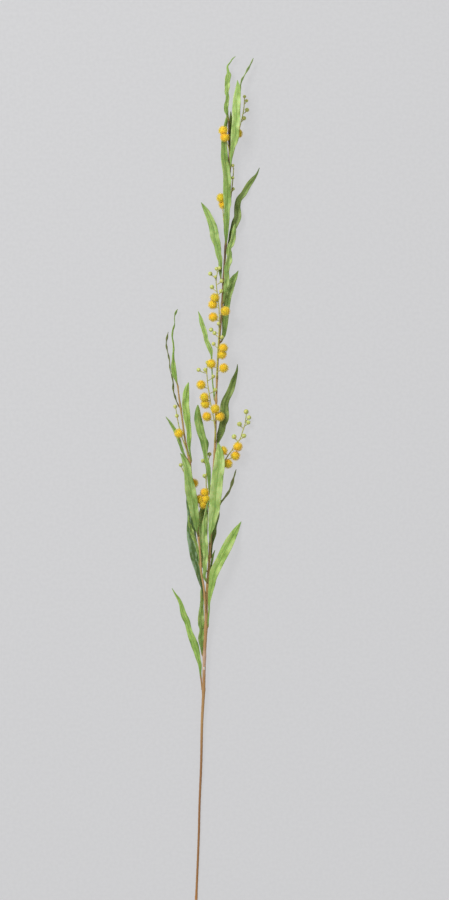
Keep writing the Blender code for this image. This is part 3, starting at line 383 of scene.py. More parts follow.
# Flower stalks with their heads (x, y, z) and buds (x, y, z, radius)
sprayTable = {
    "spray_top_left": dict(
        at=886, around=60,
        stalk=[(20.5, 899, 14.5), (18, 908, 17)],
        heads=[(13.5, 922, 18), (15.5, 914, 18.5)],
        buds=[]),
    "spray_top_right": dict(
        at=888, around=0,
        stalk=[(29, 910, 8.5), (35, 934, 7), (38, 948, 6), (39, 960, 5)],
        heads=[(31, 919, 13.5)],
        buds=[(39, 964, 4.5, 2), (41.5, 959, 4.5, 2), (42, 948, 4.5, 2.6), (38.5, 938, 4.5, 2.6)]),
    "spray_upper_left": dict(
        at=806, around=180,
        stalk=[(13.5, 822, 11), (13, 834, 10)],
        heads=[(11, 842, 9.5), (13.5, 834.5, 6.5)],
        buds=[]),
    "spray_upper_right": dict(
        at=833, around=0,
        stalk=[(23.5, 850, 10.5), (25, 864, 9.5), (26, 878, 9)],
        heads=[],
        buds=[(25, 881, 8.5, 2), (24.8, 866, 12, 2), (25.5, 853, 8.5, 2)]),
    "spray_middle_upper": dict(
        at=626, around=90,
        stalk=[(6.3, 640, 18.3), (7, 658, 18.6), (8.5, 684, 18.6), (8.5, 708, 18.3), (6, 730, 17.5),
               (5, 743, 16.5), (6.5, 753, 15.5)],
        heads=[(3.5, 722, 17), (1, 714, 15), (16, 706, 23.5), (1.5, 699, 17), (13.5, 662, 22.5), (12, 654, 20),
               (14, 638, 19), (-0.8, 643, 17.5)],
        buds=[(5.5, 757, 14, 2.3), (9, 757.5, 16, 2.3), (-2, 751, 15, 2.6), (4, 747, 19, 2),
              (11.5, 742, 19.5, 2.5), (11, 730, 20.5, 2.4), (0, 735, 15, 2.7), (8, 691, 21.5, 2.3),
              (-1, 684, 14, 2.6), (3, 680, 14.5, 2.5), (12, 675, 18, 2.3), (2, 667, 14, 2.4)]),
    "spray_middle_lower": dict(
        at=550, around=100,
        stalk=[(4, 563, 17.5), (2, 578, 17.8), (-1, 593, 17), (-3, 606, 15.5), (-5, 618, 14.5), (-6, 630, 13.5),
               (-6, 638, 12.5)],
        heads=[(-13, 618, 15), (-9, 603, 16.5), (-8, 595, 14.5), (-6, 580, 13.5), (4, 589, 21),
               (9.5, 580, 19.5)],
        buds=[(-5.5, 645, 10.5, 2.4), (-8, 636, 12, 2.5), (-16, 636, 11.5, 2.5), (1.5, 628, 13.5, 2.3),
              (4, 612, 19, 2.4)]),
    "spray_right": dict(
        at=500, around=0,
        stalk=[(9, 516, 12.5), (17, 530, 11.5), (24, 540, 10.5), (29, 548, 9.5), (33.5, 553, 8.5), (37, 563, 7),
               (39.5, 571, 5.5), (41, 581, 4)],
        heads=[(13, 539, 15.5), (31, 544, 13), (28, 533, 10.5), (19, 523.5, 14)],
        buds=[(41, 586, 3.1, 3), (44.5, 579, 4, 2.6), (43.5, 573, 5.5, 2.6), (33, 571, 6, 3), (26.5, 556, 9, 3),
              (38.5, 557, 8, 2.7)]),
    "spray_side_branch": dict(
        on="side_branch", at=534, around=80,
        stalk=[(-34, 550, 15.5), (-38, 562, 14.5), (-41, 576, 12.5), (-43, 588, 10)],
        heads=[(-39.5, 560, 15)],
        buds=[(-44, 592, 9, 2.4), (-42, 581, 9.5, 2.4)]),
    "spray_low_centre": dict(
        at=462, around=150,
        stalk=[(-4, 474, 14), (-6, 488, 12), (-7, 502, 10), (-6, 518, 9), (-3.5, 531, 8.5)],
        heads=[(-8.5, 489, 10.5), (-15, 481, 11.5), (-7, 481, 13.5), (-10.5, 475, 11.5)],
        buds=[(-3, 535, 8, 2.5), (-11, 527, 8, 2.5), (-9, 509, 8, 2.5), (-3, 497, 8.5, 2)]),
    "spray_low_left": dict(
        on="side_branch", at=478, around=270,
        stalk=[(-26, 494, 8), (-31, 508, 7), (-36, 518, 6)],
        heads=[(-22, 500, 6)],
        buds=[(-37.5, 522, 5, 2.4)]),
}
stemRoutes = {name: smoothRoute(points, layout["stemSteps"]) for name, points in stemTable.items()}


print("materials")


# Every finish starts here: a named material with its constants, the way to add nodes to it, and the place
def newFinish(name, **constants):
    made = bpy.data.materials.new(name)
    made.use_nodes = True
    shader = made.node_tree.nodes["Principled BSDF"].inputs
    for key, value in constants.items():
        shader[key.replace("_", " ")].default_value = value
    add = partial(addNode, made.node_tree)
    return made, add, add("ShaderNodeTexCoord", out="Object")


# Gives a finish its colour, and a bump that is depth millimetres high
def wear(made, colour, height=None, depth=0.0):
    tree = made.node_tree
    shader = tree.nodes["Principled BSDF"].inputs
    tree.links.new(colour, shader["Base Color"])
    if height is not None:
        bump = addNode(tree, "ShaderNodeBump", {"Height": height, "Distance": depth * mm, "Strength": 1.0})
        tree.links.new(bump, shader["Normal"])
    return made


# Lays a colour over a base: least of it up to where the value is low, most of it from where it is high
def tint(add, base, colour, value, low, high, most, least=0.0):
    share = add("ShaderNodeMapRange", [value, low, high, least, most], interpolation_type="SMOOTHSTEP")
    return add("ShaderNodeMix", {0: share, 6: base, 7: hexColour(colour)}, 2, data_type="RGBA")


# A noise whose blotches are so many millimetres long on each axis
def blotches(add, vector, size, detail, rough=0.5):
    scaled = add("ShaderNodeMapping", {"Vector": vector, "Scale": tuple(1 / (side * mm) for side in size)})
    return add("ShaderNodeTexNoise", {"Vector": scaled, "Scale": 1.0, "Detail": detail, "Roughness": rough})


greens = {  # face, hollows, ridges, underside; hollows and ridges are the print's darker and lighter tones, and also the painted shade of the hollows and the painted highlight of the ridges
    "pale": ("#a0bd64", "#779849", "#c6da90", "#8c9c5c"),
    "fresh": ("#9abb5a", "#6d903a", "#bad07e", "#869a55"),
    "mid": ("#8aa752", "#5a7a30", "#adc478", "#75894a"),
    "deep": ("#71873e", "#4a5f22", "#90a65c", "#63733c"),
    "frosted": ("#5f7c3f", "#3a5423", "#a3bd9c", "#5f7349"),
    "olive": ("#8b9650", "#5e6b31", "#abb36c", "#747f4a"),
}
cloth = dict(
    thread=0.45,  # mm, a real satin's is 0.1, drawn coarser so that it shows
    relief=0.07,  # mm, height of the weave
    veinRelief=1.5,  # the printed veins stand this many times as high as the weave
    streak=(22.0, 1.1, 1000.0),  # mm, printed veins: length, width, and the same all through
    patch=(11.0, 3.0, 1000.0),  # mm, where the dye took unevenly
    ribLine=(0.6, 0.2, 0.7),  # mm from the rib where its dark line starts and is full, and how dark it is
    footShadeMost=0.75,  # painted shade: how far the colour goes towards the hollows' at the very foot
    footBrown="#97743f",
    backShare=0.7,  # how much of the underside's colour the back has
)


# Printed polyester satin, heat-pressed over a wire rib: soft sheen, dyed streaks along the blade, paler below,
# with painted highlight on the waves' ridges and painted shade in their hollows and near the foot
def satinLeaf(name, face, hollow, ridge, under=None):
    made, add, place = newFinish(
        name, Roughness=0.6, IOR=1.4, Sheen_Weight=0.08, Sheen_Roughness=0.4, Sheen_Tint=hexColour("#d3e6a0"),
        Subsurface_Weight=0.08, Subsurface_Scale=1.5 * mm)
    uv = add("ShaderNodeUVMap", uv_map="blade")  # u and v are metres along and across
    fromRib = add("ShaderNodeMath", [add("ShaderNodeSeparateXYZ", [uv], "Y")], operation="ABSOLUTE")
    streaks = blotches(add, uv, cloth["streak"], 3.0)
    patches = blotches(add, uv, cloth["patch"], 3.0, 0.6)
    depth, shaded, foot = [
        add("ShaderNodeAttribute", out="Fac", attribute_name=mark) for mark in ("hollow", "shaded", "foot")]
    start, full, dark = cloth["ribLine"]
    tone = tint(add, hexColour(hollow), face, streaks, 0.28, 0.64, 1.0, 0.42)
    tone = tint(add, tone, ridge, patches, 0.5, 0.68, 0.6)
    tone = tint(add, tone, hollow, patches, 0.48, 0.3, 0.62)
    # Painted highlight on the ridges of the waves and creases, painted shade in their hollows
    tone = tint(add, tone, ridge, depth, 0.45, 0.1, 0.6)
    tone = tint(add, tone, hollow, depth, 0.55, 0.9, 0.85)
    tone = tint(add, tone, hollow, fromRib, start * mm, full * mm, dark)
    # Painted shade deepens the colour towards the foot, where the leaves crowd by the stem, and it is brown where
    # the tape rubs off on it
    paintedFootShade = add("ShaderNodeMath", [shaded, cloth["footShadeMost"]], operation="MULTIPLY")
    overlays = [(paintedFootShade, hollow), (foot, cloth["footBrown"])]
    if under:
        overlays.append((cloth["backShare"], under))
    for share, colour in overlays:
        tone = add("ShaderNodeMix", {0: share, 6: tone, 7: hexColour(colour)}, 2, data_type="RGBA")
    weave = add("ShaderNodeTexNoise", {
        "Vector": place, "Scale": 1 / (cloth["thread"] * mm), "Detail": 1.0})
    veins = add("ShaderNodeMath", [streaks, cloth["veinRelief"]], operation="MULTIPLY")
    return wear(made, tone, add("ShaderNodeMath", [weave, veins], operation="ADD"), cloth["relief"])


leafFinish = {}
for green, (face, hollow, ridge, under) in greens.items():
    leafFinish[green] = (
        satinLeaf("printedSatin_" + green, face, hollow, ridge),
        satinLeaf("printedSatinBack_" + green, face, hollow, ridge, under))


# Crepe paper tape wound on wire: dull brown, darker at each lap, greyer at the glued joint, and painted shade in
# dark brown over the top quarter
def crepeTape():
    made, add, place = newFinish("crepeTapeBrown", Roughness=0.72, IOR=1.5)
    height = add("ShaderNodeSeparateXYZ", [place], "Y")
    low, high = [(y - layout["middle"][1]) * mm for y in (0, layout["sprigLong"])]
    # From about three quarters of the way up, the stops are painted shade under the crowded top leaves
    tone = add("ShaderNodeValToRGB", [add("ShaderNodeMapRange", [height, low, high])], stops=[
        (0.0, "#ad763a"), (0.03, "#9a6b3a"), (0.1, "#93663a"), (0.17, "#96693e"), (0.215, "#b08a56"),
        (0.264, "#a87f4e"), (0.276, "#bb9a7e"), (0.291, "#c0a088"), (0.3, "#aa8350"), (0.4, "#b39259"),
        (0.6, "#a98b50"), (0.705, "#957a46"), (0.74, "#5f4f2c"), (0.77, "#3f3319"), (1.0, "#382c1a")])
    grain = blotches(add, place, (0.7, 5.0, 0.7), 4.0)
    lap = add("ShaderNodeAttribute", out="Fac", attribute_name="lap")
    tone = tint(add, tone, "#c79c6c", grain, 0.3, 0.7, 0.22)
    tone = tint(add, tone, "#5b3f24", lap, 0.16, 0.0, 0.45)
    return wear(made, tone, grain, 0.2)


# Moulded polyethylene: waxy yellow-green, light goes a little way in
def waxyGreen(name, light, dark, grainSize):
    made, add, place = newFinish(name, Roughness=0.45, IOR=1.51, Subsurface_Weight=0.2, Subsurface_Scale=1.0 * mm)
    grain = add("ShaderNodeTexNoise", {"Vector": place, "Scale": 1 / (grainSize * mm), "Detail": 3.0})
    return wear(made, tint(add, hexColour(dark), light, grain, 0.35, 0.65, 1.0), grain, 0.1)


# Dyed nylon flock on short threads: golden, dull, brighter at the fibres' free tips, with painted highlight in
# orange and painted shade in olive laid in random patches
def goldenFlock():
    made, add, place = newFinish(
        "dyedFlockGolden", Roughness=0.9, Sheen_Weight=0.7, Sheen_Roughness=0.6, Sheen_Tint=hexColour("#ffdc6c"),
        Subsurface_Weight=0.12, Subsurface_Scale=1.5 * mm, Subsurface_Radius=(1.0, 0.85, 0.2))
    patch = add("ShaderNodeTexNoise", {"Vector": place, "Scale": 1 / (4 * mm), "Detail": 2.0})
    side = add("ShaderNodeTexNoise", {"Vector": place, "Scale": 1 / (9 * mm), "Detail": 1.0})
    tone = add("ShaderNodeValToRGB", [add("ShaderNodeAttribute", out="Fac", attribute_name="tip")], stops=[
        (0.0, "#f4d020"), (0.45, "#f9e02e"), (1.0, "#fdee6c")])
    # Orange patches are painted highlight, olive patches painted shade, placed by a noise
    tone = tint(add, tone, "#ffc41c", side, 0.5, 0.68, 0.6)
    tone = tint(add, tone, "#d6cb2c", side, 0.5, 0.34, 0.55)
    return wear(made, tone, patch, 0.2)


# Hot-melt glue, half clear: pale pinkish grey with a wet shine
def hotMelt():
    made, add, place = newFinish(
        "hotMeltGlue", Roughness=0.18, IOR=1.48, Subsurface_Weight=0.5, Subsurface_Scale=2.0 * mm)
    haze = add("ShaderNodeTexNoise", {"Vector": place, "Scale": 1 / (2 * mm)})
    pale, milky = hexColour("#d9c2b6"), hexColour("#efe4dd")
    return wear(made, add("ShaderNodeMix", {0: haze, 6: pale, 7: milky}, 2, data_type="RGBA"))


tapeFinish = crepeTape()
stalkFinish = waxyGreen("mouldedStalkGreen", "#b6b552", "#92953f", 3.0)
budFinish = waxyGreen("mouldedBudGreen", "#d3d87e", "#a9ae52", 1.6)
flockFinish = goldenFlock()
glueFinish = hotMelt()


print("stems")
tape = dict(
    ring=0.8,  # mm between two rings of the mesh
    sides=14,
    pitch=8.5,  # mm from one lap of the tape to the next
    lapHeight=0.16,  # mm, the step where the tape overlaps itself
    crinkle=0.16,  # mm, crepe wrinkles
    crinkleSize=10 / 9,  # mm, nine wrinkles to the centimetre
    routeStep=4.0,  # mm between the points that the rings are read from
    knuckle=0.4,  # mm, how much the tape thickens where a leaf or stalk is bound in
    knuckleReach=3.5,
    bundles=((320, 50, 0.42), (895, 36, 0.35)),  # mm up the main stem, reach, extra: leaf wires side by side
    footFlare=0.35,  # mm, the cut end spreads a little
    footReach=7.0,
)


# A round tube along edges that carry a radius; marked, it keeps how far along and how far round each point is
def tubeAlong(add, given, marked=False):
    line = add("GeometryNodeMeshToCurve", {"Mesh": given["Geometry"]})
    line = add("GeometryNodeResampleCurve", {"Curve": line, "Length": given["Ring Spacing"]}, mode="LENGTH")
    ring = add("GeometryNodeCurvePrimitiveCircle", {"Resolution": given["Sides"], "Radius": 1.0})
    if marked:
        run = add("GeometryNodeSplineParameter", out="Length")
        line = add("GeometryNodeStoreNamedAttribute", {"Geometry": line, "Name": "run", "Value": run})
        turn = add("GeometryNodeSplineParameter", out="Factor")
        ring = add("GeometryNodeStoreNamedAttribute", {"Geometry": ring, "Name": "turn", "Value": turn})
    return add("GeometryNodeCurveToMesh", {
        "Curve": line, "Profile Curve": ring, "Fill Caps": True,
        "Scale": add("GeometryNodeInputNamedAttribute", {"Name": "girth"})})


# Wound tape: its laps run round the stem as a screw thread does
def tapeTree():
    tree, add, given = growthTree("wound tape", ("Ring Spacing", "Lap Pitch", "Lap Height", "Crinkle"), ["Sides"])
    tube = tubeAlong(add, given, marked=True)
    run, turn = [add("GeometryNodeInputNamedAttribute", {"Name": mark}) for mark in ("run", "turn")]
    wraps = add("ShaderNodeMath", [run, given["Lap Pitch"]], operation="DIVIDE")
    wound = add("ShaderNodeMath", [wraps, turn], operation="ADD")
    lap = add("ShaderNodeMath", [wound], operation="FRACT")
    step = add("ShaderNodeMath", [lap, given["Lap Height"]], operation="MULTIPLY")
    wrinkles = lumpsOf(add, tape["crinkleSize"], given["Crinkle"])
    moved = swellBy(add, tube, add("ShaderNodeMath", [step, wrinkles], operation="ADD"))
    marked = add("GeometryNodeStoreNamedAttribute", {"Geometry": moved, "Name": "lap", "Value": lap})
    return endTree(tree, marked, given)


# The wood's radius with its knuckles and the flare at the foot; the tape's own height is taken off
def stemChain(name):
    route = smoothRoute(stemTable[name], round(routeLength(stemTable[name]) / tape["routeStep"]))
    bound = [piece["at"] for piece in (*leafTable.values(), *sprayTable.values()) if stemOf(piece) == name]
    main = name == "main_stem"
    chain = []
    for x, y, z, radius in route:
        extra = tape["knuckle"] * min(1, sum(exp(-((y - at) / tape["knuckleReach"]) ** 2) for at in bound))
        if main:
            extra += tape["footFlare"] * exp(-((y - route[0][1]) / tape["footReach"]) ** 2)
            extra += sum(more * exp(-((y - at) / reach) ** 4) for at, reach, more in tape["bundles"])
        extra -= tape["lapHeight"] / 2
        chain.append((x, y, max(z, radius + extra + tape["lapHeight"]), radius + extra))
    return chain


woundTape = tapeTree()
for node in stemTable:
    grow(node, "_taped", [stemChain(node)], woundTape, tapeFinish, {
        "Ring Spacing": tape["ring"], "Lap Pitch": tape["pitch"], "Lap Height": tape["lapHeight"],
        "Crinkle": tape["crinkle"]}, {"Sides": tape["sides"]})


bead = dict(
    at=278,  # mm up the stem, a drop left where the branch's wire ends
    half=(0.85, 1.9, 0.7),  # mm, its half width, half length and half height
    sunk=0.25,  # mm that it sinks into the tape
    uneven=0.18,
    lumps=1.7,  # more makes the lumps smaller
    detail=4,
)
middle, _, radius = onStem("main_stem", bead["at"])
blob = bmesh.new()
bmesh.ops.create_icosphere(blob, subdivisions=bead["detail"], radius=1)
for corner in blob.verts:
    swell = 1 + bead["uneven"] * noise.noise(corner.co * bead["lumps"])
    offset = Vector(corner.co[k] * bead["half"][k] * swell for k in range(3))
    corner.co = inPlace(middle + offset + Vector((0, 0, radius + bead["half"][2] - bead["sunk"])))
beadPiece = objectOf(blob, "glue_bead", glueFinish)
beadPiece.data.shade_smooth()
pieces.objects.link(beadPiece)
settle(beadPiece, "main_stem")


print("leaves")
blade = dict(
    rows=84,
    columns=12,
    thick=0.5,  # mm at the rib
    thinEdge=0.45,  # share of it left at the edges
    edgeFall=3,  # more keeps the blade thick nearer to its edge
    modelHalf=0.35,  # mm, half the thickness of the model's blade
    footHalf=0.85,  # mm, half the width of the leaf's foot
    tipHalf=0.25,
    fold=0.2,  # rise of the edges above the rib, as a share of the half width, unless a leaf has its own
    edgeLag=1.1,  # how far one edge's wave runs behind the other's
    lagSharp=6,  # more makes the change from edge to edge more sudden
    ribHigh=0.28,  # mm that the wire rib stands up
    ribWide=0.5,
    ribFade=2.0,  # mm, half width of the blade below which the rib sinks
    veins=3.2,  # mm between the veins that run along the blade
    veinHigh=0.07,
    puckerHigh=0.5,  # mm, creases left by the press
    puckerSize=7.0,
    puckerSlim=1.6,  # times as long as wide
    frill=0.45,  # mm, the finer ripple on top of the wave along the edge
    frillRatio=2.6,
    edgeClear=0.02,  # mm more off the table at the edges
    hollowRange=2.6,  # mm of lift from the darkest painted shade in a hollow to the lightest painted highlight on a ridge
    hollowMiddle=0.55,
    footLength=9.0,  # mm that the brownish foot reaches up the blade
    footFade=1.5,
    shadedLength=34.0,  # mm up the blade that the painted shade at the foot reaches
    rootDepth=1.3,  # mm that the foot is tucked into the tape
    tuckLength=3.0,  # mm of the blade that bend for it
    streakShift=400,  # mm of cloth between two leaves, so that no two carry the same streaks
)


def bladeAxes(tangent, roll):
    side = tangent.cross(Vector((0, 0, 1))).normalized()
    turned = Matrix.Rotation(radians(roll), 3, tangent) @ side
    return turned, turned.cross(tangent)


# A point of a blade: across runs from -1 to 1, along from 0 at the foot to 1 at the tip
def bladePoint(leaf, route, tangents, long, along, across, seed):
    exact = along * (len(route) - 1)
    i = min(int(exact), len(route) - 2)
    share = exact - i
    middle = Vector(route[i][:3]).lerp(Vector(route[i + 1][:3]), share)
    tangent = tangents[i].lerp(tangents[i + 1], share).normalized()
    side, face = bladeAxes(tangent, leaf["roll"][0] + (leaf["roll"][1] - leaf["roll"][0]) * along)
    half = max(blade["tipHalf"], route[i][3] + (route[i + 1][3] - route[i][3]) * share)
    fullness = half / max(p[3] for p in leaf["route"])
    high, count = leaf["waves"]
    lag = blade["edgeLag"] * max(0, min(1, across * blade["lagSharp"] + 0.5))
    phase = 2 * pi * count * along + lag
    frill = blade["frill"] * fullness * sin(phase * blade["frillRatio"] + seed) * across**2
    lift = abs(across) * fullness * (leaf.get("fold", blade["fold"]) * half + high * sin(phase)) + frill
    offset = across * half
    rib = blade["ribHigh"] * min(1, half / blade["ribFade"]) * exp(-((offset / blade["ribWide"]) ** 2))
    vein = blade["veinHigh"] * fullness * cos(2 * pi * offset / blade["veins"])
    crease = Vector((
        offset / blade["puckerSize"] * blade["puckerSlim"], along * long / blade["puckerSize"], seed))
    pucker = blade["puckerHigh"] * fullness * noise.noise(crease)
    point = middle + side * offset + face * (lift + rib + vein + pucker)
    point.z = max(point.z, blade["thick"] / 2 + abs(across) * blade["edgeClear"])
    return point, offset, lift + pucker


def makeLeaf(node, leaf, seed):
    def reach(tangent, outward):
        side, face = bladeAxes(tangent, leaf["roll"][0])
        return abs(outward.dot(side)) * blade["footHalf"] + abs(outward.dot(face)) * blade["modelHalf"]

    foot, outward = seatOf(leaf, reach)
    route = smoothRoute([(*foot, blade["footHalf"]), *leaf["route"]], 2 * blade["rows"])
    tangents = directions(route)
    long = routeLength(route)
    wrapped = leaf.get("wrapped", 0)
    inward = outward if leaf["around"] is not None else tangents[0]
    shape = bmesh.new()
    bmesh.ops.create_grid(shape, x_segments=blade["rows"], y_segments=blade["columns"], size=1)
    sheet = shape.loops.layers.uv.new("blade")
    hollow, brown, shaded = [shape.verts.layers.float.new(mark) for mark in ("hollow", "foot", "shaded")]
    edge = shape.verts.layers.deform.new()
    flat = {}
    for corner in shape.verts:
        along, across = (corner.co.x + 1) / 2, -corner.co.y  # turned so that the grid's faces look up
        point, offset, lift = bladePoint(leaf, route, tangents, long, along, across, seed)
        run = along * long
        point -= inward * blade["rootDepth"] * max(0, 1 - run / (blade["tuckLength"] + wrapped))
        bare = max(0, run - wrapped)
        # hollow: how deep in the waves the point lies, for their painted shade and painted highlight
        corner[hollow] = max(0, min(1, blade["hollowMiddle"] - lift / blade["hollowRange"]))
        corner[brown] = max(0, 1 - bare / blade["footLength"]) ** blade["footFade"]
        # shaded: how much painted shade the point gets near the foot
        corner[shaded] = max(0, 1 - bare / blade["shadedLength"])
        corner[edge][0] = 1 - (1 - blade["thinEdge"]) * abs(across) ** blade["edgeFall"]
        flat[corner] = ((run + blade["streakShift"] * seed) * mm, offset * mm)
        corner.co = inPlace(point)
    for quad in shape.faces:
        for loop in quad.loops:
            loop[sheet].uv = flat[loop.vert]
    sheetPiece = objectOf(shape, node, *leafFinish[leaf["green"]])
    sheetPiece.vertex_groups.new(name="edge")
    body = sheetPiece.modifiers.new("body", "SOLIDIFY")
    body.thickness = blade["thick"] * mm
    body.offset = 0
    body.vertex_group = "edge"
    body.thickness_vertex_group = 0.0
    body.material_offset = 1  # the face that looks down is the cloth's back
    settle(bake(sheetPiece, node + "_cloth"), node)


for seed, (node, leaf) in enumerate(leafTable.items()):
    makeLeaf(node, leaf, seed)


print("flower stalks")
twig = dict(
    stalk=0.8,  # mm, radius at the foot
    stalkTip=0.58,
    stalkSteps=60,
    modelFoot=0.75,  # mm, radius of the model's stalk where it meets the bark
    pedicel=0.44,
    pedicelSteps=8,
    drop=4.0,  # mm that a pedicel leaves its stalk below the ball that it carries
    collar=0.3,  # mm, how much a pedicel swells under its ball
    collarReach=0.8,
    sides=8,
    step=1.2,  # mm between rings
    bow=0.9,  # mm that a pedicel bows away from a straight line
    rootDepth=1.6,
    grain=0.12,  # mm, unevenness of the moulding
    grainSize=2.0,
)
heads = dict(
    core=4.5,  # mm, radius of the dense middle
    coreDetail=4,
    uneven=0.3,  # mm, lumps of the core
    lumpSize=10 / 4.2,  # mm, 4.2 lumps to the centimetre
    fibres=720,
    fibreLong=2.0,
    fibreThin=0.08,
    fibreTaper=0.7,
    fibreSizes=(0.8, 1.1),  # smallest and largest, as shares of a fibre
    tuft=0.15,  # mm, radius of the grain of pollen on a fibre's end
    lean=0.45,  # radians that a fibre may lean
    twist=3.0,  # times as much it may turn about itself
    sunk=0.35,  # mm of the fibre inside the core
    leanSeed=11, sizeSeed=12,
    firstSeed=20,  # where the fibres stand on the first spray's heads, one more for each spray
)
buds = dict(
    grains=0.75,  # mm across one of the grains that the bud is made of
    relief=0.16,
    level=0.45,  # how far from a grain's middle the bud keeps its radius
    detail=4,
)


def twigTree():
    tree, add, given = growthTree("twigs", ("Ring Spacing", "Grain"), ["Sides"])
    tube = tubeAlong(add, given)
    return endTree(tree, swellBy(add, tube, lumpsOf(add, twig["grainSize"], given["Grain"])), given)


# Fluffy heads: a lumpy core on each seed point, and fibres with a grain on the end standing all round it
def flockTree():
    tree, add, given = growthTree("flock", (
        "Core Radius", "Uneven", "Fibre Length", "Fibre Radius", "Tuft Radius", "Lean", "Sunk"), (
        "Fibres Each", "Seed"))
    place = add("GeometryNodeInputPosition")
    dots = add("GeometryNodeMeshToPoints", {"Mesh": given["Geometry"]})
    ball = add("GeometryNodeMeshIcoSphere", {"Radius": given["Core Radius"], "Subdivisions": heads["coreDetail"]})
    cores = add("GeometryNodeInstanceOnPoints", {"Points": dots, "Instance": ball})
    cores = add("GeometryNodeRealizeInstances", {"Geometry": cores})
    uneven = add("ShaderNodeMath", [given["Uneven"], 2.0], operation="MULTIPLY")
    cores = swellBy(add, cores, lumpsOf(add, heads["lumpSize"], uneven))
    # Fibres per square metre, from the number wanted on one core
    square = add("ShaderNodeMath", [given["Core Radius"], 2.0], operation="POWER")
    area = add("ShaderNodeMath", [square, 4 * pi], operation="MULTIPLY")
    density = add("ShaderNodeMath", [given["Fibres Each"], area], operation="DIVIDE")
    spread = add("GeometryNodeDistributePointsOnFaces", {
        "Mesh": cores, "Density": density, "Seed": given["Seed"]}).node.outputs
    # One fibre with its grain, which keeps how near its tip each point is
    narrow = add("ShaderNodeMath", [given["Fibre Radius"], heads["fibreTaper"]], operation="MULTIPLY")
    fibre = add("GeometryNodeMeshCone", {
        "Vertices": 3, "Radius Top": narrow, "Radius Bottom": given["Fibre Radius"],
        "Depth": given["Fibre Length"]})
    tuft = add("GeometryNodeMeshUVSphere", {"Segments": 3, "Rings": 2, "Radius": given["Tuft Radius"]})
    end = add("ShaderNodeCombineXYZ", {"Z": given["Fibre Length"]})
    tuft = add("GeometryNodeTransform", {"Geometry": tuft, "Translation": end})
    single = add("GeometryNodeJoinGeometry", {"Geometry": [fibre, tuft]})
    x, y, z = add("ShaderNodeSeparateXYZ", [place]).node.outputs
    tip = add("ShaderNodeMath", [z, given["Fibre Length"]], operation="DIVIDE")
    single = add("GeometryNodeStoreNamedAttribute", {"Geometry": single, "Name": "tip", "Value": tip})
    # Every fibre leans, turns and grows a little differently, and stands in the core
    most = Vector((1, 1, heads["twist"]))
    lean = add("FunctionNodeRandomValue", {
        "Min": -most, "Max": most, "Seed": heads["leanSeed"]}, data_type="FLOAT_VECTOR")
    lean = add("ShaderNodeVectorMath", {0: lean, "Scale": given["Lean"]}, operation="SCALE")
    lean = add("FunctionNodeEulerToRotation", [lean])
    turn = add("FunctionNodeRotateRotation", [spread["Rotation"], lean], rotation_space="LOCAL")
    short, long = heads["fibreSizes"]
    size = add("FunctionNodeRandomValue", {
        "Min": short, "Max": long, "Seed": heads["sizeSeed"]}, 1, data_type="FLOAT")
    down = add("ShaderNodeMath", [given["Sunk"], -1.0], operation="MULTIPLY")
    root = add("ShaderNodeVectorMath", {0: spread["Normal"], "Scale": down}, operation="SCALE")
    planted = add("GeometryNodeSetPosition", {"Geometry": spread["Points"], "Offset": root})
    fluff = add("GeometryNodeInstanceOnPoints", {
        "Points": planted, "Instance": single, "Rotation": turn, "Scale": size})
    # Fibres that would reach into the table lie flat on it
    whole = add("GeometryNodeJoinGeometry", {"Geometry": [cores, fluff]})
    whole = add("GeometryNodeRealizeInstances", {"Geometry": whole})
    above = add("ShaderNodeMath", [z, 0.0], operation="MAXIMUM")
    spot = add("ShaderNodeCombineXYZ", [x, y, above])
    return endTree(tree, add("GeometryNodeSetPosition", {"Geometry": whole, "Position": spot}), given)


# Buds: a ball on each seed point, as large as the point's radius, knobbly with the grains it is made of
def budTree():
    tree, add, given = growthTree("buds", ("Grain Size", "Relief"), ["Detail"])
    dots = add("GeometryNodeMeshToPoints", {"Mesh": given["Geometry"]})
    ball = add("GeometryNodeMeshIcoSphere", {"Radius": 1.0, "Subdivisions": given["Detail"]})
    size = add("GeometryNodeInputNamedAttribute", {"Name": "girth"})
    balls = add("GeometryNodeInstanceOnPoints", {"Points": dots, "Instance": ball, "Scale": size})
    balls = add("GeometryNodeRealizeInstances", {"Geometry": balls})
    cells = add("ShaderNodeTexVoronoi", {
        "Vector": add("GeometryNodeInputPosition"),
        "Scale": add("ShaderNodeMath", [1.0, given["Grain Size"]], operation="DIVIDE")})
    bulge = add("ShaderNodeMath", [buds["level"], cells], operation="SUBTRACT")
    rise = add("ShaderNodeMath", [bulge, given["Relief"]], operation="MULTIPLY")
    return endTree(tree, swellBy(add, balls, rise), given)


# A pedicel leaves the stalk a little below its ball and bows up to it
def pedicelChain(stalkRoute, ball, depth):
    low = [p for p in stalkRoute if p[1] <= ball[1] - twig["drop"]] or stalkRoute[:1]
    start = Vector(min(low, key=lambda p: (Vector(p[:3]) - Vector(ball[:3])).length)[:3])
    end = Vector(ball[:3])
    chain = []
    for k in range(twig["pedicelSteps"] + 1):
        share = k / twig["pedicelSteps"]
        point = start.lerp(end, share)
        point.y -= twig["bow"] * sin(pi * share)
        collar = twig["collar"] * exp(-(((end - point).length - depth) / twig["collarReach"]) ** 2)
        chain.append((*point, twig["pedicel"] + collar))
    return chain


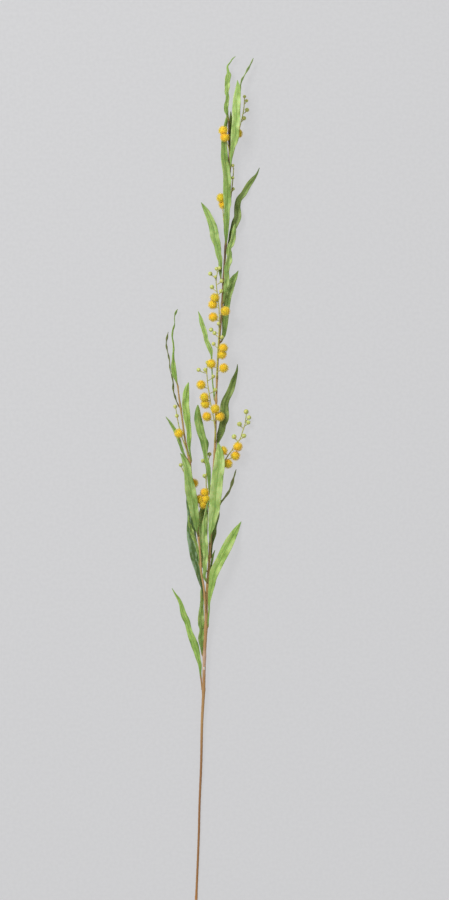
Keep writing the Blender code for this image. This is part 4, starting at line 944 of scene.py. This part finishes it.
twigs, flock, knobs = twigTree(), flockTree(), budTree()
for k, (node, spray) in enumerate(sprayTable.items()):
    foot, outward = seatOf(spray, lambda tangent, way: twig["modelFoot"])
    root = foot - outward * twig["rootDepth"]
    route = smoothRoute([tuple(root), tuple(foot), *spray["stalk"]], twig["stalkSteps"])
    slimmer = twig["stalkTip"] - twig["stalk"]
    stalk = [(*p[:3], twig["stalk"] + slimmer * i / twig["stalkSteps"]) for i, p in enumerate(route)]
    balls = [*[(*p, heads["core"]) for p in spray["heads"]], *spray["buds"]]
    chains = [stalk, *[pedicelChain(route, ball, ball[3]) for ball in balls]]
    grow(node, "_stalks", chains, twigs, stalkFinish, {
        "Ring Spacing": twig["step"], "Grain": twig["grain"]}, {"Sides": twig["sides"]})
    if spray["buds"]:
        grow(node, "_buds", [[bud] for bud in spray["buds"]], knobs, budFinish, {
            "Grain Size": buds["grains"], "Relief": buds["relief"]}, {"Detail": buds["detail"]})
    if spray["heads"]:
        grow(node, "_heads", [[(*p, heads["core"])] for p in spray["heads"]], flock, flockFinish, {
            "Core Radius": heads["core"], "Uneven": heads["uneven"], "Fibre Length": heads["fibreLong"],
            "Fibre Radius": heads["fibreThin"], "Tuft Radius": heads["tuft"], "Sunk": heads["sunk"],
        }, {"Lean": heads["lean"], "Fibres Each": heads["fibres"], "Seed": heads["firstSeed"] + k})


print("table, camera and light")
studio = dict(
    tableSize=9.0,  # m
    panelColour="#454546", panelGlow=0.62, glowColour="#f1f1f3",
    napSize=4.0,  # mm
    scale=1.2,  # mm of the sprig that one pixel of the photograph covers
    frameWide=449, frameHigh=900,  # pixels
    stemPixel=212,  # the pixel column where x is 0
    lens=150.0,  # mm, a long lens: the sprig is seen square on from end to end
    sensor=36.0,  # mm, along the frame's long side
    farthest=100,  # m that the camera sees
    eyeLevel=3.0,  # mm above the table, the height that the scale holds at
    sky=0.53,
    skyColour="#f4f4f4",
    lamp=44.0, lampSize=0.9, lampPlace=(-1.1, 1.3, 1.7),
)


# Opal acrylic panel, lit from behind as a light table is: an even pale grey that swallows nearly every shadow
def opalAcrylic():
    made, add, place = newFinish(
        "opalAcrylicPanel", Roughness=0.85, IOR=1.49, Emission_Color=hexColour(studio["glowColour"]),
        Emission_Strength=studio["panelGlow"])
    nap = add("ShaderNodeTexNoise", {"Vector": place, "Scale": 1 / (studio["napSize"] * mm), "Detail": 2.0})
    return wear(made, tint(add, hexColour(studio["panelColour"]), "#ffffff", nap, 0.3, 0.7, 0.02))


board = bmesh.new()
bmesh.ops.create_grid(board, x_segments=1, y_segments=1, size=studio["tableSize"] / 2)
table = objectOf(board, "table", opalAcrylic())

cameraData = bpy.data.cameras.new("camera")
cameraData.lens = studio["lens"]
cameraData.sensor_width = studio["sensor"]
cameraData.clip_end = studio["farthest"]
camera = bpy.data.objects.new("camera", cameraData)
distance = studio["frameHigh"] * studio["scale"] * mm * studio["lens"] / studio["sensor"]
camera.location = Vector((0, 0, distance)) + inPlace((
    (studio["frameWide"] / 2 - studio["stemPixel"]) * studio["scale"],
    studio["frameHigh"] / 2 * studio["scale"], studio["eyeLevel"]))

lampData = bpy.data.lights.new("softbox", "AREA")
lampData.shape = "SQUARE"
lampData.size = studio["lampSize"]
lampData.energy = studio["lamp"]
lamp = bpy.data.objects.new("softbox", lampData)
lamp.location = studio["lampPlace"]
lamp.rotation_euler = (-Vector(studio["lampPlace"])).to_track_quat("-Z", "Y").to_euler()

world = bpy.data.worlds.new("studio")
world.use_nodes = True
backdrop = world.node_tree.nodes["Background"].inputs
backdrop["Color"].default_value = hexColour(studio["skyColour"])
backdrop["Strength"].default_value = studio["sky"]

scene = bpy.context.scene
for thing in (table, camera, lamp):
    scene.collection.objects.link(thing)
scene.camera = camera
scene.world = world
scene.view_settings.view_transform = "Standard"

print("done")
